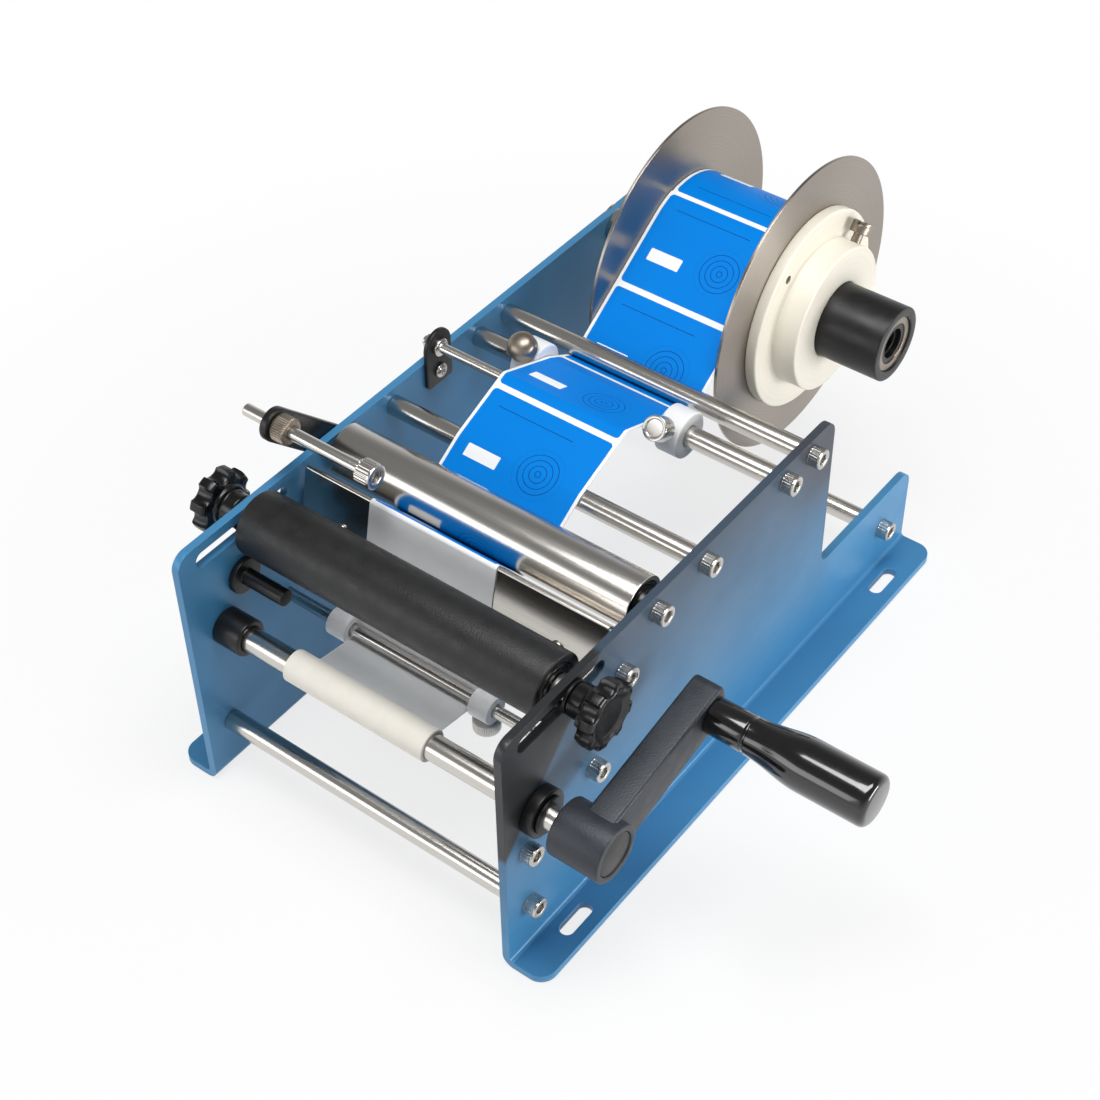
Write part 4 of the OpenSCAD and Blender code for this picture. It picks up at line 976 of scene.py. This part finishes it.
class LABELLER_OT_liner_guides(bpy.types.Operator):
    """Turn the liner rod, its collars and thumbscrew, and the guide stud"""

    bl_idname = "labeller.liner_guides"
    bl_label = "Liner Guides"

    def execute(self, context):
        liner = "liner_guide_rod"
        piece(liner, "Drawn steel", rod(6.0, *span(liner), liner))
        for node in ("liner_collar_left", "liner_collar_right"):
            piece(node, "White plastic", tube(node, 14.0, 6.1, 0.8, at=liner))
        low, high, middle = spot("liner_thumbscrew")
        top = high[2] - low[2]
        profile = [(0, 0, 0), (0, 2.0, 0), (top - 6, 2.0, 0), (top - 6, 6.4, 1), (top, 6.4, 1),
                   (top, 4.6, 0), (top - 0.6, 4.2, 0), (top - 0.6, 0, 0)]
        screw = lathe(soften(profile, 0.6), (middle[0], middle[1], high[2]), (0, 0, -1), 240,
                      (lambda angle: 0.02 * np.cos(40 * angle),))
        piece("liner_thumbscrew", "Fastener steel", screw)
        y0, y1 = span("guide_stud")
        inner = span("front_tie_rod")[1]
        stud = [(y0, 0), (y0, 4.0), (inner - 3.0, 4.0), (inner - 3.0, 9.0), (inner, 9.0),
                (inner, 3.0), (y1, 3.0), (y1, 0)]
        piece("guide_stud", "Satin black", turned("guide_stud", stud, 0.5))
        return {"FINISHED"}


class LABELLER_OT_bottle_stop(bpy.types.Operator):
    """Cut the bottle stop's arm and turn its nut, rod and pivot screw"""

    bl_idname = "labeller.bottle_stop"
    bl_label = "Bottle Stop"

    def execute(self, context):
        pivot, end = spot("press_roller_axle")[2], spot("stop_rod")[2]
        outline = capsule(pivot[[0, 2]], end[[0, 2]], 16.0)
        piece("stop_arm", "Satin black", slab(outline, *span("stop_arm"), 0.7))
        y0, y1 = span("stop_rod")
        head = socket_head(across(end, y0 + 8.0), RIGHT, 12.0, 8.0)
        piece("stop_rod", "Drawn steel", rod(6.0, y0 + 7.0, y1, end), head)
        piece("stop_nut", "Browned steel", knurled(13.0, 6.1, *span("stop_nut"), end, 36, 0.25))
        y0, y1 = span("stop_pivot_screw")
        piece("stop_pivot_screw", "Fastener steel", socket_head(across(pivot, y1 - 6.0), LEFT),
              rod(6.0, y0, y1 - 5.0, pivot))
        return {"FINISHED"}


class LABELLER_OT_tension_finger(bpy.types.Operator):
    """Cut the tension finger's bracket and turn its bar, screw and nut"""

    bl_idname = "labeller.tension_finger"
    bl_label = "Tension Finger"

    def execute(self, context):
        low, high, _ = spot("finger_bracket")
        inner = low[1]
        axis = spot("finger_nut")[2]
        a = np.linspace(0.0, math.pi, 25)
        half = (high[0] - low[0]) / 2
        arc = np.stack([axis[0] + half * np.cos(a), axis[2] + half * np.sin(a)], axis=1)
        foot = soften([arc[-1], (low[0], low[2]), (high[0], low[2]), arc[0]], 2.5, 6)[1:-1]
        plate = slab(np.vstack([arc, foot]), inner, high[1], 0.4)
        piece("finger_bracket", "Satin black", plate)
        y0, y1 = span("tension_finger")
        bar = [(y0, 0), (y0, 2.5), (inner - 2.0, 2.5), (inner - 2.0, 4.5), (inner, 4.5),
               (inner, 2.5), (y1, 2.5), (y1, 0)]
        piece("tension_finger", "Drawn steel", turned(axis, bar, 0.4))
        head = [(0, 0), (0, 3.75), (1.4, 3.6), (2.2, 2.2), (2.2, 1.5), (1.2, 1.2), (1.2, 0)]
        screw = lathe(soften(head, 0.4), across("finger_screw", inner), RIGHT)
        piece("finger_screw", "Fastener steel", screw)
        y0, y1 = span("finger_nut")
        piece("finger_nut", "Fastener steel", hex_nut(across(axis, y0), 8.0, y1 - y0, 5.1))
        return {"FINISHED"}


class LABELLER_OT_label_guides(bpy.types.Operator):
    """Mould the label guides' collars and turn their knobs"""

    bl_idname = "labeller.label_guides"
    bl_label = "Label Guides"

    def execute(self, context):
        a = np.linspace(0.0, math.pi / 2, 12)
        dome = np.stack([4.0 + 5.0 * np.sin(a), 7.0 * np.cos(a)], axis=1)
        foot = soften([(-6, 0), (-6, 2.5), (0, 2.5), (0, 6.6), (0.5, 7.0)], 0.3)
        bolt = [(-11, 0), (-11, 2.5), (-4.7, 2.5), (-4.7, 3.6), (0, 3.6), (0, 6.0), (9, 6.0),
                (9, 4.4), (8.5, 4.2), (8.5, 0)]
        knobs = (("left", 120, 3.0, "Browned steel", np.vstack([foot, dome])),
                 ("right", 142, 5.0, "Fastener steel", soften(bolt, 0.45)))
        radius = 11.5
        for side, degrees, neck, look, profile in knobs:
            node = "guide_collar_" + side
            collar = tube(node, 2 * radius, 10.1, 1.0, at="label_guide_rod")
            piece(node, "White plastic", collar)
            out = outward(math.radians(degrees))
            seat = across("label_guide_rod", sum(span(node)) / 2) + out * (radius + neck)
            knob = lathe(profile, seat, out)
            piece("guide_knob_" + side, look, knob, slot="bright_steel")
        return {"FINISHED"}


class LABELLER_OT_mandrel(bpy.types.Operator):
    """Turn the mandrel's spindle, nut, bearings and tube"""

    bl_idname = "labeller.mandrel"
    bl_label = "Mandrel"

    def execute(self, context):
        spindle = "mandrel_spindle"
        y0, y1 = span(spindle)
        inner = span("front_tie_rod")[1]
        step = span("mandrel_tube")[1] - 0.7
        bar = [(y0 + 31, 0), (y0 + 31, 6.5), (y0 + 8, 6.5), (y0 + 8, 7.5), (step, 7.5), (step, 9.5),
               (inner, 9.5), (inner, 5.0), (y1, 5.0), (y1, 0)]
        piece(spindle, "Drawn steel", turned(spindle, bar, 0.6))
        # Painted shade: the spindle's end in satin black, standing for the dark hollow inside the
        # tube's end.
        end = [(y0 + 30, 0), (y0 + 30, 5.5), (y0, 5.5), (y0, 7.5), (y0 + 7.9, 7.5), (y0 + 7.9, 6.4),
               (y0 + 30.9, 6.4), (y0 + 30.9, 0)]
        piece(spindle, "Satin black", turned(spindle, end, 0.4), name="Spindle_end")
        y0, y1 = span("mandrel_nut")
        nut = [(y0, 5.05), (y0, 7.0), (y1 - 0.1, 9.9), (y1 - 0.1, 5.05)]
        piece("mandrel_nut", "Fastener steel", turned(spindle, nut, 0.3, closed=True))
        y0, y1 = span("mandrel_bearings")
        wide = 7.0
        races = [ring(27.96, 20.6, y, y + wide, spindle, 0.5) for y in (y0, y1 - wide)]
        piece("mandrel_bearings", "Browned steel", *races)
        # Black seals across the races, dark also as painted shade of the hollow in the tube's end.
        seals = [ring(20.5, 15.1, y + 0.6, y + 6.4, spindle, 0.2) for y in (y0, y1 - wide)]
        piece("mandrel_bearings", "Satin black", *seals, name="Bearing_seals")
        piece("mandrel_tube", "Satin black", tube("mandrel_tube", 38.0, 28.0, 0.8, at=spindle),
              slot="black_plastic")
        return {"FINISHED"}


class LABELLER_OT_flanges(bpy.types.Operator):
    """Turn the side discs with their hubs and the lock screw"""

    bl_idname = "labeller.flanges"
    bl_label = "Flanges"

    def execute(self, context):
        for node in ("left_disc", "right_disc"):
            piece(node, "Turned steel", tube(node, 150.0, 38.1, 0.3, 192))
        piece("left_flange_hub", "Cream plastic", tube("left_flange_hub", 64.0, 38.04, 0.8))
        node = "right_flange_hub"
        y0, y1 = span(node)
        piece(node, "Hub plastic", self.hub(node, y0, y1, context.scene.labeller_sizes))
        out = outward(math.radians(51))
        seat = across(node, y0 + 6.5)
        stem = [(19.3, 0), (19.3, 2.5), (41.5, 2.5), (41.5, 5.0), (45.6, 5.0), (45.6, 0)]
        slot_half = 0.14
        a = np.linspace(slot_half, math.pi - slot_half, 33)
        half = 5.0 * np.stack([np.cos(a), np.sin(a)], axis=1)
        lips = [turned_to(slab(side, 45.2, 47.5, 0.4), out, seat) for side in (half, -half)]
        piece("hub_lock_screw", "Browned steel", lathe(soften(stem, 0.3), seat, out), *lips)
        return {"FINISHED"}

    def hub(self, node, y0, y1, sizes):
        """Stepped hub with a pin hole in the face of its large step.

        Rows are added to the face where the hole comes, so that its cells can be taken out.
        """
        face = y1 - 6
        steps = [(y1, 19.05), (y1, 51.0), (face, 51.0), (face, 37.0), (y0, 37.0), (y0, 19.05)]
        reach, turn = sizes.pin_reach / MM, sizes.pin_angle
        around, first = 384, 12
        column = round(-turn / (2 * math.pi) * around) % around
        rows = [(face, reach + off) for off in (3.0, 1.5, 0.0, -1.5, -3.0)]
        profile = np.insert(soften(steps, 1.0, closed=True), first, rows, axis=0)
        part = lathe(profile, across(node), LEFT, around, closed=True)
        pin = across(node, face) + reach * outward(turn)
        return drilled(part, around, (first, first + 4), (column - 4, column + 4), pin, LEFT,
                       sizes.pin_diameter / MM / 2, 1.6)


class LABELLER_OT_strip(bpy.types.Operator):
    """Lay the strip of labels along its path"""

    bl_idname = "labeller.strip"
    bl_label = "Label Strip"

    def execute(self, context):
        sizes = context.scene.labeller_sizes
        points, normals = strip_path()
        along = np.cumsum(np.linalg.norm(np.diff(points, axis=0, prepend=points[:1]), axis=1))
        y0, y1 = span("label_web")
        half = sizes.strip_thickness / MM / 2
        y = np.array([y0, y1, y1, y0])
        off = np.array([half, half, -half, -half])
        flat = points[:, None] + off[None, :, None] * normals[:, None]
        y_rows = np.repeat(y[None], len(points), axis=0)
        rows = np.stack([flat[..., 0], y_rows, flat[..., 1]], axis=-1).reshape(-1, 3)
        last = 4 * (len(points) - 1)
        ends = [[3, 2, 1, 0], [last, last + 1, last + 2, last + 3]]
        obj = show("Label_strip", rows, quads(len(points), 4).tolist() + ends, 50, merge=False)
        mesh = obj.data
        mesh.materials.append(finish("Backing paper"))
        mesh.materials.append(finish("Label film"))
        side = np.arange(len(mesh.polygons))
        bare = 4 * (NOSE_CONTACT * ARC_STEPS + 8)
        labels = (side % 4 == 0) & (side < bare)
        mesh.polygons.foreach_set("material_index", labels.astype(np.int32))
        map_at = np.stack([np.tile(y - y0, len(points)), np.repeat(along, 4)], axis=1) * MM
        corners = np.empty(len(mesh.loops), np.int32)
        mesh.loops.foreach_get("vertex_index", corners)
        mesh.uv_layers.new(name="strip").data.foreach_set("uv", map_at[corners].ravel())
        place(obj, "label_web")
        return {"FINISHED"}


class LABELLER_OT_roll(bpy.types.Operator):
    """Wind the roll of labels on its core"""

    bl_idname = "labeller.roll"
    bl_label = "Label Roll"

    def execute(self, context):
        wound = tube("label_roll", 87.0, 46.04, 0.15, 240)
        mesh = piece("label_roll", "Label wrap", wound, sharp=30.0).data
        mesh.materials.append(finish("Wound edge"))
        normals = np.empty(3 * len(mesh.polygons))
        mesh.polygons.foreach_get("normal", normals)
        edge = np.abs(normals[1::3]) > 0.7
        mesh.polygons.foreach_set("material_index", edge.astype(np.int32))
        piece("label_core", "Core board", tube("label_core", 46.0, 38.4, 0.3, at="label_roll"))
        return {"FINISHED"}


class LABELLER_OT_stage(bpy.types.Operator):
    """Set the floor, lights, surround and camera"""

    bl_idname = "labeller.stage"
    bl_label = "Studio"

    def execute(self, context):
        studio = context.scene.labeller_studio
        self.floor(context.scene, studio)
        self.light("Key", (-0.1, -0.14, 1.4), 1.1, 0.5, studio.key)
        self.light("Side", (0.3, -1.5, 0.14), 0.9, 0.26, studio.side)
        self.light("Front", (-1.4, 0.75, 0.6), 1.2, 0.6, studio.front)
        self.surround(context.scene, studio)
        self.camera(context.scene, studio)
        context.scene.view_settings.view_transform = "Standard"
        return {"FINISHED"}

    def floor(self, scene, studio):
        """Pale floor just under the feet. It is seen as partly white, and wholly so far out."""
        half, down = 6.0, -0.0005
        corners = [(x * half, y * half, down) for x, y in ((-1, -1), (1, -1), (1, 1), (-1, 1))]
        mesh = bpy.data.meshes.new("Floor")
        mesh.from_pydata(corners, [], [(0, 1, 2, 3)])
        shade = Shade("Floor")
        shade.set(Base_Color=tuple(studio.floor), Roughness=0.6)
        path = shade.add("LightPath").node.outputs
        mirrored = shade.math("MAXIMUM", path["Is Glossy Ray"], path["Is Transmission Ray"])
        seen = shade.math("MAXIMUM", path["Is Camera Ray"], mirrored)
        glow = shade.add("Emission", {"Color": WHITE, "Strength": 1.0})
        near, far = 0.2, 0.5
        reach = shade.vector("LENGTH", shade.where(), out=1)
        white = shade.times(seen, shade.ramp(reach, near, far, studio.floor_white, 1.0))
        blend = shade.add("MixShader", {0: white, 1: shade.surface.outputs[0], 2: glow})
        shade.put(shade.tree.nodes["Material Output"].inputs["Surface"], blend)
        mesh.materials.append(shade.block)
        obj = bpy.data.objects.new("Floor", mesh)
        scene.collection.objects.link(obj)

    def light(self, name, location, wide, high, watts):
        """Area light at a place, turned to the machine's middle."""
        data = bpy.data.lights.new(name, "AREA")
        data.shape = "RECTANGLE"
        data.size = wide
        data.size_y = high
        data.energy = watts
        obj = bpy.data.objects.new(name, data)
        obj.location = location
        aim = Vector((0.0, 0.0, 0.08)) - Vector(location)
        obj.rotation_euler = aim.to_track_quat("-Z", "Y").to_euler()
        bpy.context.scene.collection.objects.link(obj)

    def surround(self, scene, studio):
        """Pale surround that darkens from eye level to overhead, and is white to the camera."""
        shade = Shade("Surround", "worlds", "Background")
        path = shade.add("LightPath").node.outputs
        _, _, up = shade.split(shade.add("TexCoord"))
        level = shade.ramp(up, 0.0, 0.7, studio.horizon, studio.zenith)
        part = shade.add("Mix", {0: path["Is Glossy Ray"], 2: studio.fill, 3: 1.0})
        level = shade.add("Mix", {0: path["Is Camera Ray"], 2: shade.times(level, part), 3: 1.0})
        shade.set(Color=WHITE, Strength=level)
        scene.world = shade.block

    def camera(self, scene, studio):
        """Camera at its place, looking along the given azimuth and elevation."""
        az, el = studio.azimuth, studio.elevation
        back = np.array([-math.cos(az) * math.cos(el), -math.sin(az) * math.cos(el), math.sin(el)])
        right = np.cross([0.0, 0.0, 1.0], back)
        right /= np.linalg.norm(right)
        up = np.cross(back, right)
        c, s = math.cos(studio.roll), math.sin(studio.roll)
        axes = np.stack([c * right + s * up, c * up - s * right, back], axis=1)
        data = bpy.data.cameras.new("Camera")
        data.sensor_width = 36.0
        data.lens = studio.lens
        data.clip_start = 0.01
        obj = bpy.data.objects.new("Camera", data)
        obj.matrix_world = Matrix.Translation(studio.location) @ Matrix(axes.tolist()).to_4x4()
        scene.collection.objects.link(obj)
        scene.camera = obj


class LABELLER_PT_panel(bpy.types.Panel):
    """Steps and settings of the labeller"""

    bl_idname = "LABELLER_PT_panel"
    bl_label = "Bench Labeller"
    bl_space_type = "VIEW_3D"
    bl_region_type = "UI"
    bl_category = "Labeller"

    def draw(self, context):
        for step in STEPS:
            self.layout.operator(step.bl_idname)
        for group in GROUPS:
            box = self.layout.box()
            settings = getattr(context.scene, group)
            for name in settings.bl_rna.properties.keys():
                if name not in ("rna_type", "name"):
                    box.prop(settings, name)


GROUPS = {
    "labeller_colours": LabellerColours,
    "labeller_sizes": LabellerSizes,
    "labeller_studio": LabellerStudio,
}
STEPS = (
    LABELLER_OT_plates, LABELLER_OT_rods, LABELLER_OT_screws, LABELLER_OT_drive, LABELLER_OT_crank,
    LABELLER_OT_bottle_roller, LABELLER_OT_star_knobs, LABELLER_OT_press_roller,
    LABELLER_OT_peel_plate, LABELLER_OT_liner_guides, LABELLER_OT_bottle_stop,
    LABELLER_OT_tension_finger, LABELLER_OT_label_guides, LABELLER_OT_mandrel, LABELLER_OT_flanges,
    LABELLER_OT_roll, LABELLER_OT_strip, LABELLER_OT_stage,
)
CLASSES = (*GROUPS.values(), *STEPS, LABELLER_PT_panel)


def register():
    """Registers the classes and hangs the settings on the scene."""
    for cls in CLASSES:
        bpy.utils.register_class(cls)
    for name, cls in GROUPS.items():
        setattr(bpy.types.Scene, name, bpy.props.PointerProperty(type=cls))


def unregister():
    """Takes the settings and classes out again."""
    for name in GROUPS:
        delattr(bpy.types.Scene, name)
    for cls in reversed(CLASSES):
        bpy.utils.unregister_class(cls)


def main():
    """Registers and runs each step in order."""
    register()
    for step in STEPS:
        group, name = step.bl_idname.split(".")
        getattr(getattr(bpy.ops, group), name)()


if __name__ == "__main__":
    main()
